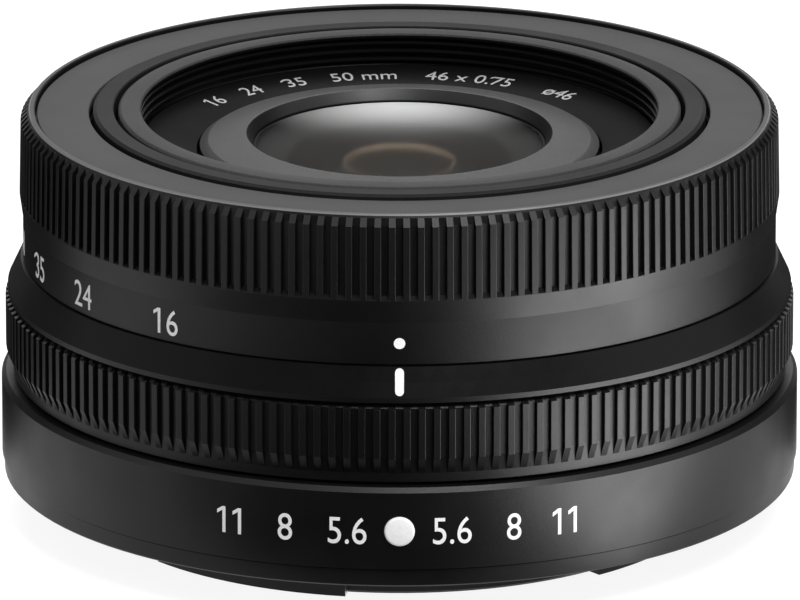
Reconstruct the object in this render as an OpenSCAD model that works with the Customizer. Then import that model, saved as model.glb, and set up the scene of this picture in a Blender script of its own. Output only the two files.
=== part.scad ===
// Retractable zoom lens, stored (retracted) state, millimetres.
// Origin at the centre of the mount flange face, +Z towards the subject, -Y the side with the mounting bead.
// The radial sizes build up from the filter bore outwards, the heights from the flange upwards.

/* [Front barrel] */
// Bore of the filter thread
filter_d = 45.18; // [43:0.1:48]
// Depth of the filter thread
filter_depth = 1.75; // [1.6:0.05:1.85]
// Ring width around the filter thread
front_rim = 2.02; // [1.9:0.05:2.4]
// Wall of the front barrel tube
front_wall = 1.3; // [1.1:0.05:1.5]

/* [Telescoping barrels] */
// Gap between the two telescoping barrels
slide_gap = 0.4; // [0.3:0.05:0.6]
// Wall of the intermediate barrel
mid_wall = 1.8; // [1.5:0.1:2.2]
// Running gap on both sides of the cam barrel
cam_gap = 0.3; // [0.25:0.05:0.5]
// Wall of the cam barrel
cam_wall = 1.3; // [1.1:0.1:1.6]
// Wall of the guide barrel tube
guide_wall = 1.3; // [1.1:0.1:1.6]
// Travel of each telescoping barrel
barrel_travel = 10; // [8:0.5:10.5]
// Turn of the zoom ring from stored to the long end
zoom_turn = 85; // [70:1:88]
// Radius of the follower pins
pin_r = 0.9; // [0.8:0.05:1]
// Gap between a follower pin and its slot
pin_gap = 0.12; // [0.1:0.01:0.2]

/* [Mount ring] */
// Thickness of the mount flange
flange_t = 1.65; // [1.5:0.05:2]
// Diameter of the spigot that enters the camera
spigot_d = 52.1; // [51:0.1:53]
// Length of the spigot behind the flange
spigot_len = 3.6; // [3.4:0.1:4]
// Diameter over the bayonet tabs
tab_d = 54.5; // [54:0.1:55]
// Thickness of a bayonet tab
tab_t = 1.8; // [1.6:0.1:2]
// Arc of a bayonet tab, in degrees
tab_arc = 40.6; // [36:0.2:46]
// Opening through the mount ring
throat_d = 48; // [47:0.1:49]

/* [Base barrel] */
// Height of the base barrel
base_h = 7.25; // [6.8:0.05:8]
// Step from the control ring ribs out to the base barrel
base_step = 0.4; // [0.3:0.05:0.8]
// Wall of the base barrel
base_wall = 1.4; // [1.2:0.1:1.6]
// Thickness of the inner shelf of the base barrel
shelf_t = 1.3; // [1.1:0.1:1.6]
// Radius of the mounting bead
bead_r = 1.31; // [1.1:0.01:1.5]

/* [Control ring] */
// Height of the control ring
control_h = 7.1; // [6.6:0.1:8]
// Wall of the control ring up to the foot of the ribs
control_wall = 1.44; // [1.3:0.02:1.7]
// Running gap under the control ring
control_gap = 0.2; // [0.15:0.05:0.4]
// Smooth land below the ribs
control_land = 0.88; // [0.7:0.02:1.2]

/* [Index cone] */
// Height of the fixed cone with the index bar
cone_h = 2.9; // [2.6:0.05:3.4]
// Height of the straight edge at the foot of the cone
cone_edge = 0.45; // [0.3:0.05:0.7]
// Wall of the sleeve that carries the control ring
sleeve_wall = 1.1; // [1:0.05:1.3]
// Space between the guide tube and the sleeve
sleeve_space = 1.2; // [1:0.05:1.5]

/* [Zoom ring] */
// Height of the smooth scale band
scale_h = 3.8; // [3.4:0.1:5]
// Height of the taper above the scale band
taper_h = 2.05; // [1.8:0.05:2.6]
// Height of the ribbed part up to the rim
knurl_h = 7.45; // [7:0.05:9]
// Wall of the zoom ring at the scale band
zoom_wall = 1.65; // [1.6:0.05:2]
// Width of the flat front plate
plate_w = 4.57; // [4.4:0.01:4.8]
// Thickness of the front plate
plate_t = 0.8; // [0.7:0.05:1]
// Gap around the edges of the front plate
plate_gap = 0.17; // [0.12:0.01:0.22]

/* [Ribs] */
// Ribs around each ring
ribs = 168; // [150:1:180]
// Depth of the grooves between ribs
rib_depth = 0.65; // [0.5:0.01:0.75]
// Share of the pitch that is groove at the crest
groove_share = 0.53; // [0.45:0.01:0.58]

/* [Front group] */
// Outer edge of the raised front collar
collar_r = 17.5; // [17:0.1:18]
// Radius of glass that shows inside the collar
glass_r = 12.8; // [12.6:0.05:12.9]
// Radius of the front element
front_lens_r = 13.1; // [12.9:0.1:13.6]
// Depth of the front glass vertex below the rim
glass_drop = 2.05; // [1.9:0.05:2.4]
// Radius of the second element
second_lens_r = 10.8; // [10.5:0.1:11.2]
// Radius of the third element
third_lens_r = 10.2; // [10:0.1:10.4]

/* [Iris] */
// Opening radius with the iris fully open
iris_open = 6.7; // [6.4:0.05:6.9]
// Width of an iris blade
blade_w = 3; // [2.8:0.05:3.2]
// Thickness of an iris blade
blade_t = 0.08; // [0.06:0.01:0.1]
// Height from one blade to the next
blade_pitch = 0.14; // [0.13:0.01:0.15]
// Swing of a blade from open to closed, in degrees
blade_swing = 28; // [20:1:29]

/* [Focus] */
// Radius of the focus element
focus_lens_r = 7.5; // [7:0.1:7.8]
// Travel of the focus carrier
focus_travel = 1.6; // [1:0.1:1.7]
// Space from the edge of the focus element to the guide rods
rod_room = 5.5; // [5.1:0.1:6]

/* [Stabiliser] */
// Travel of the stabiliser to each side
shift_travel = 0.4; // [0.2:0.05:0.5]
// Radius of the stabiliser element
shift_lens_r = 7.2; // [7:0.1:7.4]

/* [Hidden] */
$fn = 72;
eps = 0.01;
// fit between pieces of one assembly
fit = 0.05;
// fineness of the glass surfaces
lens_fn = 300;

// radii, from the filter bore outwards
filter_r = filter_d / 2;
front_r = filter_r + front_rim;
front_ri = front_r - front_wall;
mid_ri = front_r + slide_gap;
mid_r = mid_ri + mid_wall;
cam_ri = mid_r + cam_gap;
cam_r = cam_ri + cam_wall;
guide_ri = cam_r + cam_gap;
guide_r = guide_ri + guide_wall;
sleeve_ri = guide_r + sleeve_space;
sleeve_r = sleeve_ri + sleeve_wall;
control_ri = sleeve_r + control_gap;
control_land_r = control_ri + control_wall;
control_r = control_land_r + rib_depth;
base_r = control_r + base_step;
base_ri = base_r - base_wall;
flange_r = base_r - 0.2;
collar_in = sleeve_ri - 0.6;
zoom_ri = sleeve_ri + 0.15;
scale_r = zoom_ri + zoom_wall;
zoom_r = scale_r + 0.28;
cone_foot_r = control_r - 0.2;
cone_top_r = scale_r + 0.24;
zoom_floor_r = zoom_r - rib_depth - 0.1;
plate_ri = mid_r + 0.35;
plate_r = plate_ri + plate_w;
rim_ri = plate_r + plate_gap;
rim_r = min(zoom_floor_r - 0.1, rim_ri + 0.58);
spigot_r = spigot_d / 2;
tab_r = tab_d / 2;
throat_r = throat_d / 2;
seat_r = tab_r + 0.35;

// heights, from the flange upwards
base_top = flange_t + base_h;
shelf_z = base_top - shelf_t;
control_z = base_top + 0.2;
control_top = control_z + control_h;
cone_z = control_top + 0.2;
cone_top = cone_z + cone_h;
zoom_z = cone_top + 0.05;
scale_top = zoom_z + scale_h;
knurl_z = scale_top + taper_h;
front_z = knurl_z + knurl_h;
plate_top = front_z - 0.35;
lip_top = plate_top - plate_t;
lip_z = lip_top - 0.85;
cam_flange_z = lip_z - 0.9;
guide_top = cam_flange_z - 0.3;

// telescoping parts
mid_z = flange_t + 3.35;
mid_flange_top = mid_z + 1.2;
front_tube_z = mid_flange_top + 0.3;
front_pin_z = front_tube_z + pin_r + 0.4;
mid_pin_z = front_pin_z + 8.2;
cam_z = mid_z - 0.5;
slot_r = pin_r + pin_gap;
pin_angle = 30;

// front group, hung from the rim
glass_z = front_z - glass_drop;
glass_R = 60;
glass_edge = glass_z - (glass_R - sqrt(glass_R * glass_R - glass_r * glass_r));
web_top = front_z - 5.25;
web_t = 1.2;
first_R = 20;
first_rear = glass_z - 1.3;
first_seat = first_rear - 2.455;
second_front = first_seat - 0.35;
second_rear = second_front - 2.3;
third_vertex = second_rear + 1.1;
third_R = 24;
third_rear = second_rear - 1.7;
third_edge = third_vertex - (third_R - sqrt(third_R * third_R - third_lens_r * third_lens_r));
cell_rear = third_rear - 0.5;
cell_flange_t = 1.1;
cell_r = front_lens_r + 1.4;
relief_r = filter_r + 0.25;
name_in = collar_r + 0.25;
name_out = filter_r - 0.15;

// middle group, stood on the flange of the intermediate barrel
unit_z = mid_flange_top;
unit_r = front_ri - 0.5;
unit_flange_t = 0.95;
cup_ri = 16;
cup_r = 17.2;
mid_wall_z = unit_z + 5.75;
mid_wall_t = 0.8;
mid_lens_r = 8;
iris_z = mid_wall_z + 3.6;
iris_base_t = 0.6;
blade_z = iris_z + iris_base_t + 0.12;
blades = 7;
iris_motor_at = (cup_r + front_ri) / 2;
iris_motor_r = (front_ri - cup_r) / 2 - 0.45;
iris_ring_z = blade_z + blades * blade_pitch + 0.15;
iris_ring_t = 0.6;
iris_cover_z = iris_ring_z + iris_ring_t + 0.2;
cup_top = iris_cover_z + 0.6;
pivot_at = iris_open + blade_w + 1.1;
lever = 3;
drive_at = pivot_at + lever;
iris_pin_r = 0.35;
drive_swing = atan2(lever * sin(blade_swing), pivot_at + lever * cos(blade_swing));
drive_in = norm([lever * sin(blade_swing), pivot_at + lever * cos(blade_swing)]);

// stabiliser
shift_guide_z = unit_z + unit_flange_t + 0.3;
shift_guide_t = 0.6;
shift_cell_z = shift_guide_z + shift_guide_t + 0.25;
shift_cell_t = 2;
shift_r = 14;
coil_in = shift_lens_r + 2.2;
coil_len = shift_r - 0.2 - coil_in;
coil_w = 5.2;
magnet_in = shift_lens_r + 2.1;
magnet_len = shift_r - 0.7 - magnet_in;

// rear frame and focus, hung in the throat of the mount ring
floor_top = 0.2;
floor_t = 0.8;
floor_z = floor_top - floor_t;
frame_r = throat_r - 0.4;
frame_ri = frame_r - 1.7;
frame_t = 0.8;
rear_lens_r = 10.1;
baffle_r = throat_r - 3.6;
contact_in = throat_r - 3.3;
contact_at = throat_r - 1.9;
rear_cell_z = floor_z - 1.5;
baffle_z = rear_cell_z - 0.6;
focus_z = floor_top + 0.5;
focus_t = 2;
rod_at = focus_lens_r + rod_room;
motor_r = 3.5;
motor_gap = 0.4;
motor_at = frame_ri - motor_gap - motor_r;
rotor_r = motor_r - 0.9;
motor_top = floor_top + 2.4;
arm_z = motor_top + 0.3;
arm_t = 1;
screw_r = 0.5;
screw_top = arm_z + arm_t + focus_travel + 0.2;
rod_r = 0.6;

// screws of the mount ring and their bosses
boss_r = 1.2;
boss_at = base_ri - boss_r - 0.1;
mount_screw_r = 0.6;
mount_screw_head = 1.2;
mount_screw_angle = 45;
board_t = 1;

// Solid of revolution from a half section
module revolve(points) {
    rotate_extrude() polygon(points);
}

// Plain tube between two heights
module tube(ro, ri, z0, z1) {
    difference() {
        translate([0, 0, z0]) cylinder(r = ro, h = z1 - z0);
        translate([0, 0, z0 - 1]) cylinder(r = ri, h = z1 - z0 + 2);
    }
}

// Curved block between two radii, two angles and two heights
module sector(r0, r1, a0, a1, z0, z1) {
    rotate([0, 0, a0])
        rotate_extrude(angle = a1 - a0)
            polygon([[r0, z0], [r1, z0], [r1, z1], [r0, z1]]);
}

// Copies turned about the axis
module around(n, a0 = 0) {
    for (i = [0:n - 1]) rotate([0, 0, a0 + i * 360 / n]) children();
}

// Round bar that points away from the axis
module radial_bar(r, r0, r1, z) {
    translate([r0, 0, z]) rotate([0, 90, 0]) cylinder(r = r, h = r1 - r0);
}

// Straight slot along the axis, cut through a wall
module straight_slot(half, r0, r1, z0, z1) {
    radial_bar(half, r0, r1, z0);
    radial_bar(half, r0, r1, z1);
    translate([r0, -half, z0]) cube([r1 - r0, 2 * half, z1 - z0]);
}

// Helical bar of constant lead, used to cut one cam slot: it climbs by rise while it turns by turn
module helical_bar(half, r0, r1, z0, rise, turn, steps = 20) {
    rm = (r0 + r1) / 2;
    run = turn * PI / 180 * rm;
    len = norm([run, rise]);
    // unit vector along the slot and the one across it, on the unrolled wall
    ux = run / len;
    uz = rise / len;
    more = half * 1.15;
    pts = [for (i = [0:steps])
        let (s = -more + (len + 2 * more) * i / steps)
        for (k = [[r0, -1], [r1, -1], [r1, 1], [r0, 1]])
            let (x = s * ux - k[1] * half * uz, z = z0 + s * uz + k[1] * half * ux, a = x / rm * 180 / PI)
            [k[0] * cos(a), k[0] * sin(a), z]];
    sides = [for (i = [0:steps - 1]) for (k = [0:3])
        let (p = 4 * i + k, q = 4 * i + (k + 1) % 4)
        each (turn > 0 ? [[p, p + 4, q], [q, p + 4, q + 4]] : [[p, q, p + 4], [q, q + 4, p + 4]])];
    n = 4 * steps;
    caps = turn > 0 ? [[0, 1, 2], [0, 2, 3], [n, n + 2, n + 1], [n, n + 3, n + 2]]
        : [[0, 2, 1], [0, 3, 2], [n, n + 1, n + 2], [n, n + 2, n + 3]];
    polyhedron(points = pts, faces = concat(sides, caps));
}

// Star of ribs as one prism: its valleys lie inside the ring that carries the ribs
module rib_star(crest, foot, z0, z1) {
    pitch = 360 / ribs;
    top = pitch * (1 - groove_share) / 2;
    low = top + pitch * 0.07;
    pts = [for (i = [0:ribs - 1])
        for (k = [[foot, -low], [crest + 1, -top], [crest + 1, top], [foot, low]])
            let (a = i * pitch + k[1])
            [k[0] * cos(a), k[0] * sin(a)]];
    translate([0, 0, z0]) linear_extrude(height = z1 - z0) polygon(pts);
}

// Fixed rear part

// Mount ring: flange, spigot and four bayonet tabs
module mount_ring() {
    color([0.11, 0.11, 0.12])
        difference() {
            union() {
                revolve([[throat_r, -spigot_len], [spigot_r - 0.25, -spigot_len], [spigot_r, -spigot_len + 0.25],
                    [spigot_r, 0.3], [seat_r, 0.3], [seat_r, 0], [flange_r - 0.15, 0], [flange_r, 0.15],
                    [flange_r, flange_t], [throat_r, flange_t]]);
                around(4, -120.2 - tab_arc / 2)
                    sector(spigot_r - 0.5, tab_r, 0, tab_arc, -spigot_len + 0.05, -spigot_len + 0.05 + tab_t);
            }
            around(4, mount_screw_angle) {
                translate([boss_at, 0, -1]) cylinder(r = mount_screw_r + 0.1, h = flange_t + 2);
                translate([boss_at, 0, -0.01]) cylinder(r = mount_screw_head + 0.1, h = 0.71);
            }
            // hole for the lock pin of the camera
            rotate([0, 0, -160]) translate([boss_at, 0, -1]) cylinder(r = 1.3, h = 2.2);
        }
}

// Four screws that hold the mount ring to the base barrel
module mount_screws() {
    color([0.75, 0.75, 0.77])
        around(4, mount_screw_angle) {
            difference() {
                translate([boss_at, 0, 0.1]) cylinder(r = mount_screw_head, h = 0.6);
                translate([boss_at - 0.9, -0.14, 0]) cube([1.8, 0.28, 0.4]);
                translate([boss_at - 0.14, -0.9, 0]) cube([0.28, 1.8, 0.4]);
            }
            translate([boss_at, 0, 0.6]) cylinder(r = mount_screw_r, h = flange_t + 2.4);
        }
}

// Rear frame: dish that hangs in the throat and carries the rear group and the focus drive
module rear_frame() {
    color([0.13, 0.13, 0.14])
        difference() {
            revolve([[rear_lens_r + fit, rear_cell_z], [rear_lens_r + 1.1, rear_cell_z],
                [rear_lens_r + 1.1, floor_z], [frame_r, floor_z], [frame_r, flange_t],
                [cam_ri, flange_t], [cam_ri, flange_t + frame_t], [frame_ri, flange_t + frame_t],
                [frame_ri, floor_top], [rear_lens_r - 0.9, floor_top], [rear_lens_r - 0.9, floor_top - 0.3],
                [rear_lens_r + fit, floor_top - 0.3]]);
            for (a = [210, 330]) rotate([0, 0, a]) translate([rod_at, 0, floor_z - 1]) cylinder(r = rod_r, h = 3);
        }
}

// Rear glass element
module rear_element() {
    color([0.6, 0.72, 0.7, 0.5])
        intersection() {
            translate([0, 0, rear_cell_z - 0.2]) cylinder(r = rear_lens_r, h = floor_top - 0.3 - rear_cell_z + 0.2);
            translate([0, 0, rear_cell_z - 0.1 + 90]) sphere(r = 90, $fn = lens_fn);
        }
}

// Rear baffle with the rectangular window
module rear_baffle() {
    color([0.08, 0.08, 0.08])
        difference() {
            union() {
                translate([0, 0, baffle_z]) cylinder(r = baffle_r, h = 0.55);
                tube(baffle_r, baffle_r - 1, baffle_z, floor_z);
            }
            translate([-10.5, -7.2, baffle_z - 1]) cube([21, 14.4, 3]);
        }
}

// Block that carries the electrical contacts
module contact_block() {
    color([0.1, 0.1, 0.1])
        difference() {
            sector(contact_in, throat_r - 0.5, 42, 138, -spigot_len + 0.35, floor_z);
            for (i = [-5:5]) rotate([0, 0, 90 + i * 8])
                translate([contact_at, 0, -spigot_len]) cylinder(r = 0.5, h = 1.6);
        }
}

// Eleven contact pins
module contact_pins() {
    color([0.85, 0.66, 0.25])
        for (i = [-5:5]) rotate([0, 0, 90 + i * 8]) {
            translate([contact_at, 0, -spigot_len + 0.45]) cylinder(r = 0.46, h = 1.1);
            translate([contact_at, 0, -spigot_len + 0.55]) sphere(r = 0.44);
        }
}

// Base barrel: outer shell, inner shelf and four screw bosses
module base_barrel() {
    color([0.1, 0.1, 0.1])
        difference() {
            union() {
                revolve([[base_ri, flange_t], [base_r, flange_t], [base_r, base_top - 0.4],
                    [base_r - 0.4, base_top], [guide_r + fit, base_top], [guide_r + fit, shelf_z], [base_ri, shelf_z]]);
                around(4, mount_screw_angle)
                    translate([boss_at, 0, flange_t]) cylinder(r = boss_r, h = shelf_z - flange_t + 0.2);
            }
            around(4, mount_screw_angle)
                translate([boss_at, 0, flange_t - 1]) cylinder(r = mount_screw_r + 0.02, h = 4.2);
            rotate([0, 0, -90]) radial_bar(bead_r + 0.02, base_ri - 1, base_r + 1, flange_t + 3.43);
        }
}

// White mounting bead pressed into the base barrel
module mounting_bead() {
    color([0.93, 0.93, 0.92])
        rotate([0, 0, -90])
            intersection() {
                radial_bar(bead_r, base_ri + 0.1, base_r + 1, flange_t + 3.43);
                translate([base_r + 0.3 - 3.4, 0, flange_t + 3.43]) sphere(r = 3.4);
            }
}

// Circuit board on the mount ring, open at the front
module main_board() {
    color([0.1, 0.3, 0.2])
        difference() {
            sector(guide_r + 0.3, base_ri - 0.4, -70, 250, flange_t, flange_t + board_t);
            around(4, mount_screw_angle)
                translate([boss_at, 0, flange_t - 1]) cylinder(r = boss_r + 0.15, h = board_t + 2);
        }
}

// Chips soldered on the board
module board_chips() {
    color([0.07, 0.07, 0.08])
        for (a = [0, 90, 180, 112, 68]) rotate([0, 0, a])
            translate([guide_r + 0.8, -2, flange_t + board_t]) cube([1.8, 4, 0.9]);
}

// Guide barrel: inner tube with three straight slots, sleeve for the control ring, index cone and snap collar
module guide_barrel() {
    color([0.12, 0.12, 0.12])
        difference() {
            revolve([[guide_ri, flange_t + fit], [guide_r, flange_t + fit], [guide_r, cone_z - 0.9],
                [sleeve_ri, cone_z - 0.9], [sleeve_ri, base_top + fit], [sleeve_r, base_top + fit], [sleeve_r, cone_z],
                [cone_foot_r, cone_z], [cone_foot_r, cone_z + cone_edge], [cone_top_r, cone_top], [sleeve_ri, cone_top],
                [sleeve_ri, cone_top + 0.9], [sleeve_ri + 0.3, cone_top + 0.9], [sleeve_ri + 0.15, cone_top + 1.5],
                [collar_in, cone_top + 1.5], [collar_in, cone_top - 0.6], [guide_r, cone_top - 0.6],
                [guide_r, guide_top], [guide_ri, guide_top]]);
            around(3, pin_angle + 60)
                straight_slot(slot_r, guide_ri - 0.3, guide_r + 0.3, mid_pin_z, mid_pin_z + barrel_travel);
            // window for the control ring sensor
            rotate([0, 0, 90]) translate([sleeve_ri - 0.5, -1.6, control_z + 0.4]) cube([3, 3.2, 2.2]);
        }
}

// Sensor that reads the code ring of the control ring
module ring_sensor() {
    color([0.1, 0.1, 0.11])
        rotate([0, 0, 90]) translate([guide_r + 0.1, -1.5, control_z + 0.5])
            cube([sleeve_r - guide_r - 0.3, 3, 2]);
}

// Stepping motor of the focus drive
module focus_motor() {
    color([0.7, 0.7, 0.72])
        rotate([0, 0, 90]) difference() {
            translate([motor_at, 0, floor_top]) cylinder(r = motor_r, h = motor_top - floor_top);
            translate([motor_at, 0, floor_top + 0.5]) cylinder(r = rotor_r + 0.3, h = motor_top - floor_top - 1);
            translate([motor_at, 0, floor_top + 0.5]) cylinder(r = screw_r + 0.1, h = 4);
        }
}

// Two guide rods of the focus carrier
module guide_rods() {
    color([0.8, 0.8, 0.82])
        for (a = [210, 330]) rotate([0, 0, a])
            translate([rod_at, 0, floor_z]) cylinder(r = rod_r - 0.02, h = mid_flange_top - 0.4 - floor_z);
}

// Focus group

// Focus carrier: lens ring, two ears on the rods and the nut arm on the lead screw
module focus_carrier() {
    color([0.14, 0.14, 0.15])
        difference() {
            union() {
                tube(focus_lens_r + 1.4, focus_lens_r + fit, focus_z, focus_z + focus_t);
                tube(focus_lens_r + 1.4, focus_lens_r - 0.5, focus_z - 0.3, focus_z + 0.001);
                for (a = [210, 330]) rotate([0, 0, a]) {
                    translate([focus_lens_r + 0.7, -1, focus_z]) cube([rod_at - focus_lens_r - 0.7, 2, focus_t]);
                    translate([rod_at, 0, focus_z]) cylinder(r = 1.5, h = focus_t);
                }
                rotate([0, 0, 90]) {
                    translate([focus_lens_r + 0.7, -1.2, focus_z]) cube([3, 2.4, arm_z + arm_t - focus_z]);
                    translate([focus_lens_r + 0.7, -1.2, arm_z]) cube([motor_at - focus_lens_r - 0.7, 2.4, arm_t]);
                    translate([motor_at, 0, arm_z]) cylinder(r = 1.5, h = arm_t);
                }
            }
            for (a = [210, 330]) rotate([0, 0, a]) translate([rod_at, 0, focus_z - 1]) cylinder(r = rod_r + 0.1, h = 6);
            rotate([0, 0, 90]) translate([motor_at, 0, focus_z]) cylinder(r = screw_r + 0.12, h = 8);
        }
}

// Focus element
module focus_element() {
    color([0.6, 0.72, 0.7, 0.5])
        difference() {
            intersection() {
                translate([0, 0, focus_z + 0.02]) cylinder(r = focus_lens_r, h = focus_t - 0.12);
                translate([0, 0, focus_z + focus_t - 0.12 - 48]) sphere(r = 48, $fn = lens_fn);
            }
            translate([0, 0, focus_z + 0.8 - 22]) sphere(r = 22, $fn = lens_fn);
        }
}

// Lead screw of the focus motor, with the rotor that turns it
module lead_screw() {
    color([0.82, 0.78, 0.6])
        rotate([0, 0, 90]) difference() {
            union() {
                translate([motor_at, 0, floor_top + 0.6]) cylinder(r = screw_r, h = screw_top - floor_top - 0.6);
                translate([motor_at, 0, floor_top + 0.6]) cylinder(r = rotor_r, h = motor_top - floor_top - 1.2);
            }
            translate([motor_at - 1, screw_r - 0.1, screw_top - 0.6]) cube([2, 1, 1]);
        }
}

// Control ring

// Ribbed control ring
module control_ring() {
    foot = control_land_r;
    color([0.12, 0.12, 0.12])
        difference() {
            union() {
                revolve([[control_ri, control_z], [foot - 0.1, control_z], [foot, control_z + 0.1],
                    [foot, control_top], [control_ri, control_top]]);
                intersection() {
                    rib_star(control_r, foot - 0.3, control_z, control_top);
                    revolve([[foot - 0.6, control_z + control_land], [foot, control_z + control_land],
                        [control_r, control_z + control_land + 1.45], [control_r, control_top - 0.37],
                        [foot, control_top - 0.1], [foot - 0.6, control_top - 0.1]]);
                }
            }
            // recess of the code ring
            translate([0, 0, control_z - 0.5]) cylinder(r = control_ri + 0.5, h = 3.2);
        }
}

// Code ring fixed in the recess of the control ring
module code_ring() {
    color([0.3, 0.3, 0.32]) tube(control_ri + 0.5 - 0.02, control_ri + 0.05, control_z + 0.3, control_z + 2.7);
}

// Zoom ring group

// Ribbed zoom ring with the scale band, the rim and the inner lip
module zoom_ring() {
    color([0.12, 0.12, 0.12])
        difference() {
            union() {
                revolve([[zoom_ri, zoom_z], [scale_r - 0.1, zoom_z], [scale_r, zoom_z + 0.1], [scale_r, scale_top],
                    [zoom_r, knurl_z - 0.05], [zoom_floor_r, knurl_z], [zoom_floor_r, front_z - 0.3],
                    [rim_r, front_z - 0.12], [rim_r - 0.12, front_z], [rim_ri + 0.1, front_z], [rim_ri, front_z - 0.1],
                    [rim_ri, lip_top], [cam_r + 0.6, lip_top], [cam_r + 0.6, lip_z], [zoom_ri + 0.25, lip_z],
                    [zoom_ri + 0.25, cone_top + 2.2], [zoom_ri, cone_top + 2]]);
                intersection() {
                    rib_star(zoom_r, zoom_floor_r - 0.3, knurl_z - 0.6, front_z);
                    revolve([[zoom_floor_r - 0.6, knurl_z - 0.5], [zoom_r - 0.02, knurl_z - 0.5], [zoom_r, knurl_z],
                        [zoom_r - 0.13, front_z - 0.95], [zoom_floor_r - 0.02, front_z - 0.3],
                        [zoom_floor_r - 0.6, front_z - 0.3]]);
                }
            }
            // groove that snaps over the collar of the guide barrel
            tube(zoom_ri + 0.4, zoom_ri - 1, cone_top + 0.6, cone_top + 1.8);
            around(3, 20) {
                translate([cam_r + 1.8, 0, lip_z - 1]) cylinder(r = 0.75, h = 3);
                translate([cam_r + 1.8, 0, lip_top - 0.5]) cylinder(r = 1.15, h = 1);
            }
        }
}

// Flat front plate glued into the zoom ring
module front_plate() {
    color([0.42, 0.42, 0.43])
        revolve([[plate_ri, lip_top], [plate_r, lip_top], [plate_r, plate_top - 0.08], [plate_r - 0.08, plate_top],
            [plate_ri + 0.08, plate_top], [plate_ri, plate_top - 0.08]]);
}

// Cam barrel with three slots for each telescoping barrel
module cam_barrel() {
    color([0.55, 0.56, 0.58])
        difference() {
            revolve([[cam_ri, cam_z], [cam_r, cam_z], [cam_r, cam_flange_z], [cam_r + 2.6, cam_flange_z],
                [cam_r + 2.6, lip_z], [cam_ri, lip_z]]);
            around(3, pin_angle)
                helical_bar(slot_r, cam_ri - 0.6, cam_r + 0.6, front_pin_z, 2 * barrel_travel, -zoom_turn);
            around(3, pin_angle + 60)
                helical_bar(slot_r, cam_ri - 0.6, cam_r + 0.6, mid_pin_z, barrel_travel, -zoom_turn);
            around(3, 20) translate([cam_r + 1.8, 0, cam_flange_z - 1]) cylinder(r = 0.62, h = 3);
        }
}

// Three screws that join the zoom ring to the cam barrel
module cam_screws() {
    color([0.75, 0.75, 0.77])
        around(3, 20) {
            translate([cam_r + 1.8, 0, lip_top - 0.48]) cylinder(r = 1.1, h = 0.43);
            translate([cam_r + 1.8, 0, cam_flange_z]) cylinder(r = 0.6, h = lip_top - 0.2 - cam_flange_z);
        }
}

// Intermediate barrel group

// Intermediate barrel: tube with three straight slots and an inner flange at the rear
module intermediate_barrel() {
    color([0.13, 0.13, 0.13])
        difference() {
            revolve([[mid_ri - 3, mid_z], [mid_r, mid_z], [mid_r, front_z - 0.2], [mid_r - 0.3, front_z],
                [mid_ri + 0.1, front_z], [mid_ri, front_z - 0.1], [mid_ri, mid_flange_top], [mid_ri - 3, mid_flange_top]]);
            around(3, pin_angle)
                straight_slot(slot_r, mid_ri - 0.3, mid_r + 0.3, front_pin_z, front_pin_z + barrel_travel);
            around(3, pin_angle + 60) radial_bar(pin_r + 0.02, mid_r - 0.9, mid_r + 1, mid_pin_z);
        }
}

// Three follower pins of the intermediate barrel
module intermediate_pins() {
    color([0.8, 0.7, 0.45])
        around(3, pin_angle + 60) radial_bar(pin_r, mid_r - 0.88, guide_r - 0.3, mid_pin_z);
}

// Housing of the iris and the stabiliser
module unit_housing() {
    color([0.14, 0.14, 0.15])
        difference() {
            union() {
                revolve([[cup_ri, unit_z], [unit_r, unit_z], [unit_r, unit_z + unit_flange_t],
                    [cup_r, unit_z + unit_flange_t], [cup_r, cup_top], [cup_ri, cup_top],
                    [cup_ri, mid_wall_z + mid_wall_t], [mid_lens_r + 1.2, mid_wall_z + mid_wall_t],
                    [mid_lens_r + 1.2, mid_wall_z + 3.2], [mid_lens_r + fit, mid_wall_z + 3.2],
                    [mid_lens_r + fit, mid_wall_z + 0.6], [mid_lens_r - 0.7, mid_wall_z + 0.6],
                    [mid_lens_r - 0.7, mid_wall_z], [cup_ri, mid_wall_z]]);
                // ledge that carries the iris base
                tube(cup_ri + 0.5, cup_ri - 1, iris_z - 0.7, iris_z);
            }
            // window for the lever of the iris ring
            sector(cup_ri - 0.8, cup_r + 1, 86, 104, iris_ring_z - 0.15, cup_top + 1);
        }
}

// Fixed element of the middle group
module middle_element() {
    z0 = mid_wall_z + 0.6;
    color([0.6, 0.72, 0.7, 0.5])
        intersection() {
            translate([0, 0, z0]) cylinder(r = mid_lens_r, h = 3);
            translate([0, 0, z0 + 2.85 - 30]) sphere(r = 30, $fn = lens_fn);
        }
}

// Motor that turns the iris ring
module iris_motor() {
    color([0.7, 0.7, 0.72])
        rotate([0, 0, 118]) {
            translate([iris_motor_at, 0, unit_z + unit_flange_t]) cylinder(r = iris_motor_r, h = 6);
            translate([iris_motor_at, 0, unit_z + unit_flange_t + 5]) cylinder(r = 0.5, h = 2.4);
        }
}

// Iris base plate with the pivot holes
module iris_base() {
    color([0.1, 0.1, 0.1])
        difference() {
            tube(cup_ri - fit, iris_open + 0.2, iris_z, iris_z + iris_base_t);
            around(blades) translate([pivot_at, 0, iris_z - 1]) cylinder(r = iris_pin_r + 0.06, h = 3);
        }
}

// Points along an arc
function arc(c, r, a0, a1, n) = [for (i = [0:n]) let (a = a0 + (a1 - a0) * i / n) c + r * [cos(a), sin(a)]];

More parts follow.
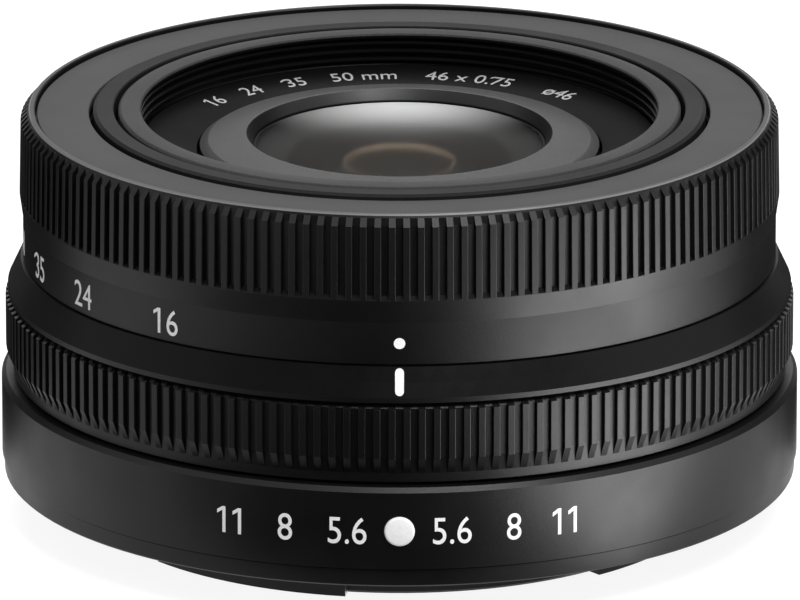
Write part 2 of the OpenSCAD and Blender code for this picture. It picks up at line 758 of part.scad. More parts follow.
// Outline of an iris blade: sickle, pivot lobe and lever
function blade_outline() =
    let (mean = iris_open + blade_w / 2, out = iris_open + blade_w)
    concat(
        arc([drive_at, 0], 0.6, -90, 90, 8),
        [[pivot_at + 0.6, 0.7], [pivot_at, 0.9]],
        arc([0, 0], out, 9, 98, 20),
        arc(mean * [cos(98), sin(98)], blade_w / 2, 108, 268, 8),
        arc([0, 0], iris_open, 97, 5, 20),
        arc(mean * [cos(4), sin(4)], blade_w / 2, 190, 294, 6),
        [[pivot_at - 0.5, -0.8], [pivot_at + 0.5, -0.8]]);

// One iris blade, open, with its pivot pin below and its drive pin above
module blade(i) {
    z = blade_z + i * blade_pitch;
    color([0.2, 0.2, 0.21])
        rotate([0, 0, i * 360 / blades]) {
            translate([0, 0, z]) linear_extrude(height = blade_t) polygon(blade_outline());
            translate([pivot_at, 0, iris_z + 0.05]) cylinder(r = iris_pin_r, h = z - iris_z);
            translate([drive_at, 0, z + 0.02]) cylinder(r = iris_pin_r, h = iris_ring_z + iris_ring_t - z - 0.02);
        }
}

module iris_blade_1() {
    blade(0);
}

module iris_blade_2() {
    blade(1);
}

module iris_blade_3() {
    blade(2);
}

module iris_blade_4() {
    blade(3);
}

module iris_blade_5() {
    blade(4);
}

module iris_blade_6() {
    blade(5);
}

module iris_blade_7() {
    blade(6);
}

// Iris ring: seven slots drive the blades, one lever goes out to the motor
module iris_ring() {
    z0 = iris_ring_z;
    z1 = iris_ring_z + iris_ring_t;
    half = iris_pin_r + 0.12;
    color([0.16, 0.16, 0.17])
        difference() {
            union() {
                tube(cup_ri - 0.4, pivot_at + 1.5, z0, z1);
                sector(cup_ri - 1, cup_r + 1.6, 90, 95, z0, z1);
            }
            around(blades) {
                translate([drive_in - 0.05, 0, z0 - 1]) cylinder(r = half, h = 3);
                translate([drive_at + 0.05, 0, z0 - 1]) cylinder(r = half, h = 3);
                translate([drive_in - 0.05, -half, z0 - 1]) cube([drive_at - drive_in + 0.1, 2 * half, 3]);
            }
        }
}

// Cover plate of the iris
module iris_cover() {
    color([0.1, 0.1, 0.1])
        difference() {
            tube(cup_ri - fit, iris_open + 0.3, iris_cover_z, cup_top - 0.1);
            sector(cup_ri - 0.8, cup_r + 1, 86, 104, iris_cover_z - 1, cup_top + 1);
        }
}

// Stabiliser base plate, closes the housing at the rear
module stabiliser_base() {
    color([0.14, 0.14, 0.15]) tube(cup_ri - fit, shift_lens_r + 1, unit_z, unit_z + unit_flange_t);
}

// Coils of the stabiliser, under the wall of the housing
module stabiliser_coils() {
    color([0.75, 0.45, 0.25])
        for (a = [0, 90]) rotate([0, 0, a]) difference() {
            translate([coil_in, -coil_w / 2, mid_wall_z - 0.5]) cube([coil_len, coil_w, 0.5]);
            translate([coil_in + 1.6, -coil_w / 2 + 1.4, mid_wall_z - 1]) cube([coil_len - 3.2, coil_w - 2.8, 2]);
        }
}

// Stabiliser guide, slides along X
module shift_guide() {
    color([0.5, 0.5, 0.52]) tube(shift_r + 0.4, 10, shift_guide_z, shift_guide_z + shift_guide_t);
}

// Stabiliser cell, slides along Y on the guide
module shift_cell() {
    color([0.16, 0.16, 0.17])
        difference() {
            tube(shift_r, shift_lens_r - 0.6, shift_cell_z, shift_cell_z + shift_cell_t);
            translate([0, 0, shift_cell_z + 0.3]) cylinder(r = shift_lens_r + fit, h = 3);
            for (a = [0, 90]) rotate([0, 0, a])
                translate([magnet_in, -coil_w / 2, shift_cell_z + shift_cell_t - 0.9]) cube([magnet_len, coil_w, 2]);
        }
}

// Stabiliser element
module shift_element() {
    color([0.6, 0.72, 0.7, 0.5])
        difference() {
            translate([0, 0, shift_cell_z + 0.3]) cylinder(r = shift_lens_r, h = shift_cell_t - 0.2);
            translate([0, 0, shift_cell_z + 1.3 + 34]) sphere(r = 34, $fn = lens_fn);
        }
}

// Magnets in the stabiliser cell
module shift_magnets() {
    color([0.6, 0.6, 0.62])
        for (a = [0, 90]) rotate([0, 0, a])
            translate([magnet_in + fit, -coil_w / 2 + fit, shift_cell_z + shift_cell_t - 0.9])
                cube([magnet_len - 2 * fit, coil_w - 2 * fit, 1]);
}

// Front barrel group

// Front barrel: tube, filter bore and the web that carries the front group
module front_barrel() {
    color([0.14, 0.14, 0.14])
        difference() {
            revolve([[front_ri, front_tube_z], [front_r, front_tube_z], [front_r, front_z - 0.2],
                [front_r - 0.27, front_z], [filter_r + 0.15, front_z], [filter_r, front_z - 0.15],
                [filter_r, front_z - 0.15 - filter_depth], [relief_r, front_z - 0.4 - filter_depth],
                [relief_r, web_top], [cell_r + fit, web_top], [cell_r + fit, web_top - web_t],
                [front_ri, web_top - web_t]]);
            around(3, pin_angle) radial_bar(pin_r + 0.02, front_r - 0.9, front_r + 1, front_pin_z);
        }
}

// Three follower pins of the front barrel
module front_pins() {
    color([0.8, 0.7, 0.45])
        around(3, pin_angle) radial_bar(pin_r, front_r - 0.88, cam_r - 0.15, front_pin_z);
}

// Name ring, the shallow cone behind the filter thread
module name_ring() {
    color([0.13, 0.13, 0.13])
        revolve([[name_out - 1, web_top], [name_out, web_top], [name_out, front_z - 2.85],
            [name_in, front_z - 3.7], [name_in, front_z - 4.3], [name_out - 1, front_z - 4]]);
}

// Raised collar that holds the front glass
module front_collar() {
    z0 = web_top + cell_flange_t;
    color([0.16, 0.16, 0.16])
        revolve([[front_lens_r + 0.1, z0], [collar_r, z0], [collar_r, front_z - 3.1], [collar_r - 0.1, front_z - 3.02],
            [glass_r + 0.75, front_z - 2.35], [glass_r + 0.6, front_z - 2.37], [glass_r, glass_edge + 0.12],
            [glass_r, glass_edge + 0.04], [front_lens_r + 0.1, glass_edge + 0.04]]);
}

// Cell of the front group, stepped for its three elements
module front_cell() {
    color([0.15, 0.15, 0.15])
        revolve([[third_lens_r - 0.8, cell_rear], [second_lens_r + 1.3, cell_rear], [second_lens_r + 1.3, first_seat - 1.4],
            [cell_r, first_seat - 1.4], [cell_r, web_top], [collar_r - 0.3, web_top],
            [collar_r - 0.3, web_top + cell_flange_t], [front_lens_r + fit, web_top + cell_flange_t],
            [front_lens_r + fit, first_seat], [second_lens_r + fit, first_seat], [second_lens_r + fit, second_rear],
            [third_lens_r + fit, second_rear], [third_lens_r + fit, third_rear], [third_lens_r - 0.8, third_rear]]);
}

// Front element, convex towards the subject
module front_element() {
    color([0.55, 0.6, 0.62, 0.5])
        difference() {
            intersection() {
                translate([0, 0, first_seat]) cylinder(r = front_lens_r, h = 6);
                translate([0, 0, glass_z - glass_R]) sphere(r = glass_R, $fn = lens_fn);
            }
            translate([0, 0, first_rear - first_R]) sphere(r = first_R, $fn = lens_fn);
        }
}

// Spacer between the first and the second element
module first_spacer() {
    color([0.06, 0.06, 0.06])
        tube(second_lens_r, second_lens_r - 1.1, second_front, first_seat);
}

// Second element
module second_element() {
    color([0.6, 0.72, 0.7, 0.5])
        difference() {
            translate([0, 0, second_rear]) cylinder(r = second_lens_r, h = second_front - second_rear);
            translate([0, 0, second_rear + 1.47 - 26]) sphere(r = 26, $fn = lens_fn);
        }
}

// Spacer between the second and the third element
module second_spacer() {
    color([0.06, 0.06, 0.06])
        difference() {
            tube(third_lens_r, third_lens_r - 0.8, third_edge - 0.1, second_rear);
            translate([0, 0, third_vertex - third_R]) sphere(r = third_R + 0.03, $fn = lens_fn);
        }
}

// Third element
module third_element() {
    color([0.6, 0.72, 0.7, 0.5])
        intersection() {
            translate([0, 0, third_rear]) cylinder(r = third_lens_r, h = 6);
            translate([0, 0, third_vertex - third_R]) sphere(r = third_R, $fn = lens_fn);
        }
}

mount_ring();
mount_screws();
rear_frame();
rear_element();
rear_baffle();
contact_block();
contact_pins();
base_barrel();
mounting_bead();
main_board();
board_chips();
guide_barrel();
ring_sensor();
focus_motor();
guide_rods();
focus_carrier();
focus_element();
lead_screw();
control_ring();
code_ring();
zoom_ring();
front_plate();
cam_barrel();
cam_screws();
intermediate_barrel();
intermediate_pins();
unit_housing();
middle_element();
iris_motor();
iris_base();
iris_blade_1();
iris_blade_2();
iris_blade_3();
iris_blade_4();
iris_blade_5();
iris_blade_6();
iris_blade_7();
iris_ring();
iris_cover();
stabiliser_base();
stabiliser_coils();
shift_guide();
shift_cell();
shift_element();
shift_magnets();
front_barrel();
front_pins();
name_ring();
front_collar();
front_cell();
front_element();
first_spacer();
second_element();
second_spacer();
third_element();
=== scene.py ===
import math

import bmesh
import bpy
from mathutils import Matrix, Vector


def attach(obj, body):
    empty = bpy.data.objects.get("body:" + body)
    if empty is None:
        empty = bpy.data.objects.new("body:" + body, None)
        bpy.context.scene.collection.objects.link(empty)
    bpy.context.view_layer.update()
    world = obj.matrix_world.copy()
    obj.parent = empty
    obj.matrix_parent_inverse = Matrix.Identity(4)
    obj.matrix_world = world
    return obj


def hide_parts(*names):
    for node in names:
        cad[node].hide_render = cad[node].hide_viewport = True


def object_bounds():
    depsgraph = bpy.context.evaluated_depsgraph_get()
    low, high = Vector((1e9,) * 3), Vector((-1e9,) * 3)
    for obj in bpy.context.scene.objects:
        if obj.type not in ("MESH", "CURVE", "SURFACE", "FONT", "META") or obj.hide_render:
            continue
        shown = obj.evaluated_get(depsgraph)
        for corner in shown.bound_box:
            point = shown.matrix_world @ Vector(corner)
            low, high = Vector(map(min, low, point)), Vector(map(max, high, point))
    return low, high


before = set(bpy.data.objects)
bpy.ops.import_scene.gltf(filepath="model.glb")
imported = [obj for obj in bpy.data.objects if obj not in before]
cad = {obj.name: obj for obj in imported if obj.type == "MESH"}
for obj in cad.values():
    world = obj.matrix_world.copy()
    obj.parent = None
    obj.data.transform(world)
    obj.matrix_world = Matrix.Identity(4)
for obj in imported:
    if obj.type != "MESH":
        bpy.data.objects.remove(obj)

cad_low, cad_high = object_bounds()

# Mount ring: a bayonet turned from aluminium alloy and anodised black. One end of each tab, the end
# that faces one way round, is bright steel, a painted highlight. Its flange seats on the camera below a
# fine seam, four tabs lock behind the camera's throat, and four steel screws hold it to the base.
MM = 0.001
WELD = 0.001 * MM


def coat(name, colour, roughness, shine, grain=0.11, speck=0.35, relief=0.004):
    """Matt coat with specks of the grain's size, in mm, on its colour, gloss and relief."""
    smear_size = 7
    gloss_spread = 0.05
    finish = bpy.data.materials.new(name)
    finish.use_nodes = True
    tree = finish.node_tree
    shader = tree.nodes["Principled BSDF"]
    shader.inputs["Specular IOR Level"].default_value = shine
    place = tree.nodes.new("ShaderNodeTexCoord")
    specks = tree.nodes.new("ShaderNodeTexNoise")
    specks.inputs["Scale"].default_value = 1 / (grain * MM)
    specks.inputs["Detail"].default_value = 2.0
    tree.links.new(place.outputs["Object"], specks.inputs["Vector"])
    shade = tree.nodes.new("ShaderNodeValToRGB")
    for stop, share, spot in zip(shade.color_ramp.elements, (1 - speck, 1 + speck), (0.33, 0.67)):
        stop.color = [part * share for part in colour] + [1]
        stop.position = spot
    tree.links.new(specks.outputs["Fac"], shade.inputs["Fac"])
    tree.links.new(shade.outputs["Color"], shader.inputs["Base Color"])
    handled = tree.nodes.new("ShaderNodeTexNoise")
    handled.inputs["Scale"].default_value = 1 / (smear_size * MM)
    handled.inputs["Detail"].default_value = 4.0
    tree.links.new(place.outputs["Object"], handled.inputs["Vector"])
    gloss = tree.nodes.new("ShaderNodeMapRange")
    gloss.inputs["From Min"].default_value = 0.3
    gloss.inputs["From Max"].default_value = 0.7
    gloss.inputs["To Min"].default_value = roughness - gloss_spread
    gloss.inputs["To Max"].default_value = roughness + gloss_spread
    tree.links.new(handled.outputs["Fac"], gloss.inputs["Value"])
    tree.links.new(gloss.outputs["Result"], shader.inputs["Roughness"])
    bump = tree.nodes.new("ShaderNodeBump")
    bump.inputs["Distance"].default_value = relief * MM
    tree.links.new(specks.outputs["Fac"], bump.inputs["Height"])
    tree.links.new(bump.outputs["Normal"], shader.inputs["Normal"])
    return finish


def metal(name, colour, roughness, streak=(1, 1, 12), grain=0.3):
    """Bare or plated metal with fine tool marks, grain mm wide; streak packs them along each axis."""
    mark_depth = 0.003
    gloss_spread = 0.1
    finish = bpy.data.materials.new(name)
    finish.use_nodes = True
    tree = finish.node_tree
    shader = tree.nodes["Principled BSDF"]
    shader.inputs["Metallic"].default_value = 1.0
    place = tree.nodes.new("ShaderNodeTexCoord")
    run = tree.nodes.new("ShaderNodeMapping")
    run.inputs["Scale"].default_value = streak
    tree.links.new(place.outputs["Object"], run.inputs["Vector"])
    marks = tree.nodes.new("ShaderNodeTexNoise")
    marks.inputs["Scale"].default_value = 1 / (grain * MM)
    marks.inputs["Detail"].default_value = 3.0
    tree.links.new(run.outputs["Vector"], marks.inputs["Vector"])
    shade = tree.nodes.new("ShaderNodeValToRGB")
    for stop, share in zip(shade.color_ramp.elements, (0.75, 1.1)):
        stop.color = [min(part * share, 1) for part in colour] + [1]
    tree.links.new(marks.outputs["Fac"], shade.inputs["Fac"])
    tree.links.new(shade.outputs["Color"], shader.inputs["Base Color"])
    gloss = tree.nodes.new("ShaderNodeMapRange")
    gloss.inputs["To Min"].default_value = roughness - gloss_spread
    gloss.inputs["To Max"].default_value = roughness + gloss_spread
    tree.links.new(marks.outputs["Fac"], gloss.inputs["Value"])
    tree.links.new(gloss.outputs["Result"], shader.inputs["Roughness"])
    bump = tree.nodes.new("ShaderNodeBump")
    bump.inputs["Distance"].default_value = mark_depth * MM
    tree.links.new(marks.outputs["Fac"], bump.inputs["Height"])
    tree.links.new(bump.outputs["Normal"], shader.inputs["Normal"])
    return finish


def paint(piece, *coats):
    """The piece's material slots hold these finishes."""
    piece.data.materials.clear()
    for finish in coats:
        piece.data.materials.append(finish)


def finished_copy(node, body, finish, edge=0.0, smooth=30):
    """Merged and smoothed copy of a CAD node, its sharp edges broken by edge mm, in its place."""
    sharp = 35
    bpy.ops.object.select_all(action="DESELECT")
    bpy.context.view_layer.objects.active = cad[node]
    cad[node].select_set(True)
    bpy.ops.object.duplicate()
    piece = bpy.context.object
    for key in [key for key in piece.keys() if key.startswith("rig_")]:
        del piece[key]
    piece.name = node + "_piece"
    bpy.ops.object.mode_set(mode="EDIT")
    bpy.ops.mesh.select_all(action="SELECT")
    bpy.ops.mesh.remove_doubles(threshold=WELD)
    bpy.ops.object.mode_set(mode="OBJECT")
    if edge:
        bpy.ops.object.modifier_add(type="BEVEL")
        soft = piece.modifiers[-1]
        soft.width = edge * MM
        soft.segments = 2
        soft.limit_method = "ANGLE"
        soft.angle_limit = math.radians(sharp)
        bpy.ops.object.modifier_apply(modifier=soft.name)
    bpy.ops.object.shade_smooth_by_angle(angle=math.radians(smooth))
    paint(piece, finish)
    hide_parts(node)
    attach(piece, body)
    return piece


def true_round(piece):
    """Normals of the piece's turned faces follow the true circle, so that it shades without facets."""
    off_round = 0.002
    mesh = piece.data
    normals = [corner.vector.copy() for corner in mesh.corner_normals]
    for face in mesh.polygons:
        out = face.center.xy.normalized()
        radial = face.normal.xy.dot(out)
        if face.normal.xy.length - abs(radial) > off_round:
            continue
        for corner in face.loop_indices:
            side = mesh.vertices[mesh.loops[corner].vertex_index].co.xy.normalized()
            normals[corner] = (side.x * radial, side.y * radial, face.normal.z)
    mesh.normals_split_custom_set(normals)


anodised_black = coat("anodised_black", (0.003, 0.003, 0.0032), 0.4, 0.25, grain=0.08)
bright_steel = metal("bright_steel", (0.62, 0.62, 0.63), 0.3)
mount_smooth = 15
mount_ring = finished_copy("mount_ring", "body", anodised_black, edge=0.05,
                           smooth=mount_smooth)
mount_ring.data.materials.append(bright_steel)
tab_top = -1.7
tab_inside = 26.2
end_on = 0.9
# Painted highlight: the tab ends that face one way round take bright steel.
for face in mount_ring.data.polygons:
    out = face.center.xy.normalized()
    highlight_end = face.normal.y * out.x - face.normal.x * out.y > end_on
    if highlight_end and face.center.z < tab_top * MM and face.center.xy.length > tab_inside * MM:
        face.material_index = 1
flange_radius = 34.8
flange_skin = 0.1
seam_foot = 1.52
seam_above = 1.55
seam_share = 0.996
bpy.ops.object.mode_set(mode="EDIT")
bpy.ops.mesh.select_mode(type="VERT")
bpy.ops.mesh.select_all(action="SELECT")
bpy.ops.mesh.bisect(plane_co=(0, 0, seam_foot * MM), plane_no=(0, 0, 1))
bpy.ops.mesh.select_all(action="DESELECT")
flange = bmesh.from_edit_mesh(mount_ring.data)
for point in flange.verts:
    outside = point.co.xy.length > (flange_radius - flange_skin) * MM
    point.select_set(outside and point.co.z > seam_above * MM)
bmesh.update_edit_mesh(mount_ring.data)
bpy.ops.transform.resize(value=(seam_share, seam_share, 1), center_override=(0, 0, 0))
bpy.ops.object.mode_set(mode="OBJECT")
bpy.ops.object.shade_smooth_by_angle(angle=math.radians(mount_smooth))
true_round(mount_ring)
finished_copy("mount_screws", "body", bright_steel)

# Rear frame and baffle: moulded in black glass-filled plastic. The frame carries the rear lens and
# closes the barrel, and the baffle's oblong window keeps stray light off the sensor.
moulded_black = coat("moulded_black", (0.008, 0.008, 0.008), 0.6, 0.1, grain=0.16, relief=0.006)
finished_copy("rear_frame", "body", moulded_black, edge=0.06)
finished_copy("rear_baffle", "body", moulded_black, edge=0.06)

# Rear lens: ground and polished glass with a coating that gives back a little green light. It drops
# into the rear frame's seat and is cemented at its edge.


def glass(name, tint, coat_tint, coat_roughness, polish=0.0):
    """Clear glass with a thin coating, its faint marks of polishing on the gloss."""
    mark_size = 3
    gloss_spread = 0.02
    finish = bpy.data.materials.new(name)
    finish.use_nodes = True
    tree = finish.node_tree
    shader = tree.nodes["Principled BSDF"]
    shader.inputs["Transmission Weight"].default_value = 1.0
    shader.inputs["IOR"].default_value = 1.5
    shader.inputs["Coat Weight"].default_value = 0.5
    shader.inputs["Coat Roughness"].default_value = coat_roughness
    shader.inputs["Coat IOR"].default_value = 1.4
    shader.inputs["Coat Tint"].default_value = (*coat_tint, 1)
    place = tree.nodes.new("ShaderNodeTexCoord")
    marks = tree.nodes.new("ShaderNodeTexNoise")
    marks.inputs["Scale"].default_value = 1 / (mark_size * MM)
    marks.inputs["Detail"].default_value = 3.0
    tree.links.new(place.outputs["Object"], marks.inputs["Vector"])
    shade = tree.nodes.new("ShaderNodeValToRGB")
    for stop, share in zip(shade.color_ramp.elements, (0.96, 1.0)):
        stop.color = [part * share for part in tint] + [1]
    tree.links.new(marks.outputs["Fac"], shade.inputs["Fac"])
    tree.links.new(shade.outputs["Color"], shader.inputs["Base Color"])
    gloss = tree.nodes.new("ShaderNodeMapRange")
    gloss.inputs["To Min"].default_value = polish
    gloss.inputs["To Max"].default_value = polish + gloss_spread
    tree.links.new(marks.outputs["Fac"], gloss.inputs["Value"])
    tree.links.new(gloss.outputs["Result"], shader.inputs["Roughness"])
    return finish


rear_glass = glass("rear_glass", (0.92, 0.96, 0.93), (0.7, 1.0, 0.8), 0.05)
finished_copy("rear_element", "body", rear_glass)

# Contact block and pins: a curved plastic block with eleven spring pins, gold plated, that meet the
# camera's contacts. It is screwed into the mount's throat.
gold_plate = metal("gold_plate", (0.86, 0.62, 0.25), 0.25, streak=(1, 1, 1))
finished_copy("contact_block", "body", moulded_black, edge=0.05)
finished_copy("contact_pins", "body", gold_plate)

# Base barrel: a turned alloy ring with a fine matt black coat. The mount ring is screwed to it from
# behind, and its front edge is bevelled below the control ring.
base_coat = coat("base_coat", (0.003, 0.003, 0.0032), 0.4, 0.25, relief=0.01)
true_round(finished_copy("base_barrel", "body", base_coat, edge=0.05, smooth=15))

# Depth figures on the base barrel: plain numbers in white ink, pad printed to both sides of the bead.
# They are a few hundredths of a millimetre thick.
FIGURE_SHARE = 0.73
INK_HALF = 0.03
INK_SINK = 0.012


def figures(name, text, height, narrow=0.86):
    """Flat print of plain figures, height mm tall and centred on the origin; each 1 gets its flag."""
    stem_share = 0.9
    flag_share = 0.3
    flag_out = 0.2
    flag_drop = 0.13
    leftward = -0.99
    bpy.ops.object.select_all(action="DESELECT")
    bpy.ops.object.text_add(location=(0, 0, 0))
    piece = bpy.context.object
    piece.name = name
    piece.data.body = text
    piece.data.size = height / FIGURE_SHARE * MM
    piece.data.align_x = "CENTER"
    piece.data.extrude = INK_HALF * MM
    piece.data.resolution_u = 5
    bpy.ops.object.convert(target="MESH")
    bpy.ops.object.mode_set(mode="EDIT")
    bpy.ops.mesh.select_all(action="SELECT")
    bpy.ops.mesh.remove_doubles(threshold=WELD)
    bpy.ops.transform.resize(value=(narrow, 1, 1), center_override=(0, 0, 0))
    bpy.ops.transform.translate(value=(0, -height / 2 * MM, 0))
    stem_top = flag_share * height * MM
    bpy.ops.mesh.select_mode(type="FACE")
    bpy.ops.mesh.select_all(action="DESELECT")
    print_face = bmesh.from_edit_mesh(piece.data)
    for face in print_face.faces:
        rise = max(v.co.y for v in face.verts) - min(v.co.y for v in face.verts)
        face.select_set(face.normal.x < leftward and rise > stem_share * height * MM)
    bmesh.update_edit_mesh(piece.data)
    bpy.ops.mesh.bisect(plane_co=(0, stem_top, 0), plane_no=(0, 1, 0))
    print_face = bmesh.from_edit_mesh(piece.data)
    for face in print_face.faces:
        rise = max(v.co.y for v in face.verts) - min(v.co.y for v in face.verts)
        width = max(v.co.x for v in face.verts) - min(v.co.x for v in face.verts)
        stem_end = rise < flag_share * height * MM and face.calc_center_median().y > stem_top
        upright = face.normal.x < leftward and width < WELD and face.calc_area() > 0
        face.select_set(stem_end and upright)
    bmesh.update_edit_mesh(piece.data)
    flag = (-flag_out * height * MM, -flag_drop * height * MM, 0)
    bpy.ops.mesh.extrude_region_move(TRANSFORM_OT_translate={"value": flag})
    bpy.ops.mesh.select_mode(type="VERT")
    bpy.ops.object.mode_set(mode="OBJECT")
    return piece


def wrapped(piece, turn, height, radius_at):
    """The flat piece is laid round the barrel, turn degrees from the bead; radius_at(z) is the wall."""
    for point in piece.data.vertices:
        z = height * MM + point.co.y
        wall = radius_at(z / MM) * MM
        angle = math.radians(turn) + point.co.x / wall
        reach = wall + point.co.z
        point.co = (reach * math.sin(angle), -reach * math.cos(angle), z)
    piece.data.update()
    return piece


white_ink = coat("white_ink", (0.82, 0.82, 0.82), 0.5, 0.3, grain=0.2, speck=0.05)
base_radius = 35.0
depth_size = 2.5
depth_height = 5.15
depth_figures = {"11": 24.3, "8": 16.3, "5.6": 7.4}
for text, turn in depth_figures.items():
    for side, hand in ((-1, "left"), (1, "right")):
        piece = figures("depth_" + text.replace(".", "_") + "_" + hand, text, depth_size)
        wrapped(piece, side * turn, depth_height, lambda z: base_radius - INK_SINK)
        paint(piece, white_ink)
        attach(piece, "body")

# Mounting bead: a domed button moulded in white plastic, pressed into a hole in the base barrel. It
# shows by touch and sight how the lens goes on the camera.


def outline(name, points, closed=True):
    """Wire through these points, in metres, drawn by extruding one vertex; it stays in edit mode."""
    bpy.ops.object.select_all(action="DESELECT")
    bpy.ops.mesh.primitive_plane_add(size=MM, location=points[0])
    bpy.ops.object.transform_apply(location=True, rotation=True, scale=True)
    piece = bpy.context.object
    piece.name = name
    bpy.ops.object.mode_set(mode="EDIT")
    bpy.ops.mesh.select_mode(type="VERT")
    bpy.ops.mesh.select_all(action="SELECT")
    bpy.ops.mesh.merge(type="CENTER")
    rest = points[1:] + points[:1] if closed else points[1:]
    for here, there in zip(points, rest):
        step = [b - a for a, b in zip(here, there)]
        bpy.ops.mesh.extrude_region_move(TRANSFORM_OT_translate={"value": step})
    bpy.ops.mesh.select_all(action="SELECT")
    bpy.ops.mesh.remove_doubles(threshold=WELD)
    return piece


def spun(piece, steps, centre=(0, 0, 0), axis=(0, 0, 1), smooth=30):
    """The wire is turned once about the axis, and the seam and poles are closed."""
    bpy.ops.mesh.select_all(action="SELECT")
    bpy.ops.mesh.spin(steps=steps, angle=2 * math.pi, center=centre, axis=axis)
    bpy.ops.mesh.select_all(action="SELECT")
    bpy.ops.mesh.remove_doubles(threshold=WELD)
    bpy.ops.mesh.normals_make_consistent(inside=False)
    bpy.ops.object.mode_set(mode="OBJECT")
    bpy.ops.object.shade_smooth_by_angle(angle=math.radians(smooth))
    return piece


bead_radius = 1.31
bead_height = 5.08
bead_proud = 0.3
bead_foot = 33.8
bead_round = 0.22
bead_steps = 6
bead_sides = 64
bead_top = base_radius + bead_proud
dome_foot = bead_top - 0.05
dome_waist = (0.6, bead_top - 0.015)
bead_section = [(0, bead_foot), (bead_radius, bead_foot)]
for step in range(bead_steps + 1):
    turn = math.pi / 2 * step / bead_steps
    across = bead_radius - bead_round + bead_round * math.cos(turn)
    bead_section.append((across, dome_foot - bead_round + bead_round * math.sin(turn)))
bead_section += [dome_waist, (0, bead_top)]
bead = outline("bead", [(r * MM, -y * MM, bead_height * MM) for r, y in bead_section], closed=False)
spun(bead, bead_sides, centre=(0, 0, bead_height * MM), axis=(0, 1, 0))
white_plastic = coat("white_plastic", (0.86, 0.86, 0.86), 0.35, 0.5, grain=0.3, speck=0.03, relief=0.001)
paint(bead, white_plastic)
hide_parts("mounting_bead")
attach(bead, "body")

# Circuit board and chips: a lacquered glass-fibre board shaped as a ring, with soldered chips. It
# clips into the base barrel round the guide barrel.
board_lacquer = coat("board_lacquer", (0.03, 0.14, 0.07), 0.35, 0.5, grain=0.9, speck=0.6, relief=0.01)
finished_copy("main_board", "body", board_lacquer)
finished_copy("board_chips", "body", moulded_black)

# Guide barrel: an alloy tube with straight slots for the pins and a conical shoulder outside, coated
# black. It is screwed to the base and carries both turning rings.
guide_coat = coat("guide_coat", (0.003, 0.003, 0.0032), 0.4, 0.1)
guide_barrel = finished_copy("guide_barrel", "body", guide_coat, smooth=10)
guide_barrel.data.materials.append(base_coat)
foot_inside = 34.2
wall_tilt = 0.1
for face in guide_barrel.data.polygons:
    if abs(face.normal.z) < wall_tilt and face.center.xy.length > foot_inside * MM:
        face.material_index = 1
true_round(guide_barrel)

# Index bar: a white stroke printed on the cone, which the zoom scale is read against.
# It has the same white ink as the figures.
cone_foot = (34.4, 16.85)
cone_top = (33.25, 19.3)


def cone_radius(z):
    """Radius of the guide barrel's cone at a height, in mm."""
    share = (z - cone_foot[1]) / (cone_top[1] - cone_foot[1])
    return cone_foot[0] + (cone_top[0] - cone_foot[0]) * share


bar_sides = 32
bar_width = 0.76
bar_low = 17.03
bar_high = 19.2
bar_sink = 0.04
bar_thick = 0.06
bpy.ops.object.select_all(action="DESELECT")
bpy.ops.mesh.primitive_circle_add(vertices=bar_sides, radius=bar_width / 2 * MM, fill_type="NGON")
index_bar = bpy.context.object
index_bar.name = "index_bar"
bpy.ops.object.mode_set(mode="EDIT")
bpy.ops.mesh.select_mode(type="VERT")
bpy.ops.mesh.select_all(action="DESELECT")
bar = bmesh.from_edit_mesh(index_bar.data)
for point in bar.verts:
    point.select_set(point.co.y > -WELD)
bmesh.update_edit_mesh(index_bar.data)
bpy.ops.transform.translate(value=(0, (bar_high - bar_low - bar_width) * MM, 0))
bpy.ops.mesh.select_all(action="SELECT")
bpy.ops.transform.translate(value=(0, bar_width / 2 * MM, -bar_sink * MM))
bpy.ops.mesh.extrude_region_move(TRANSFORM_OT_translate={"value": (0, 0, bar_thick * MM)})
bpy.ops.mesh.select_all(action="SELECT")
bpy.ops.mesh.normals_make_consistent(inside=False)
bpy.ops.object.mode_set(mode="OBJECT")
wrapped(index_bar, 0, bar_low, cone_radius)
paint(index_bar, white_ink)
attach(index_bar, "body")

# Ring sensor, focus motor and guide rods: a reader for the control ring's code, a stepper motor in a
# steel can and two ground rods. They are fixed to the base and the rear frame.
finished_copy("ring_sensor", "body", moulded_black)
finished_copy("focus_motor", "body", bright_steel)
finished_copy("guide_rods", "body", bright_steel)

# Focus group: a plastic carrier with its cemented lens, moved along the rods by a brass lead screw
# on the motor's shaft.
focus_glass = glass("focus_glass", (0.95, 0.93, 0.96), (0.9, 0.7, 1.0), 0.05)
drawn_brass = metal("drawn_brass", (0.72, 0.52, 0.22), 0.3)
finished_copy("focus_carrier", "focus", moulded_black)
finished_copy("focus_element", "focus", focus_glass)
finished_copy("lead_screw", "lead_screw", drawn_brass)

# Control ring: turned from alloy, its ribs cut lengthwise with long chamfers at the rear, anodised
# black. It turns freely between the base and the cone.


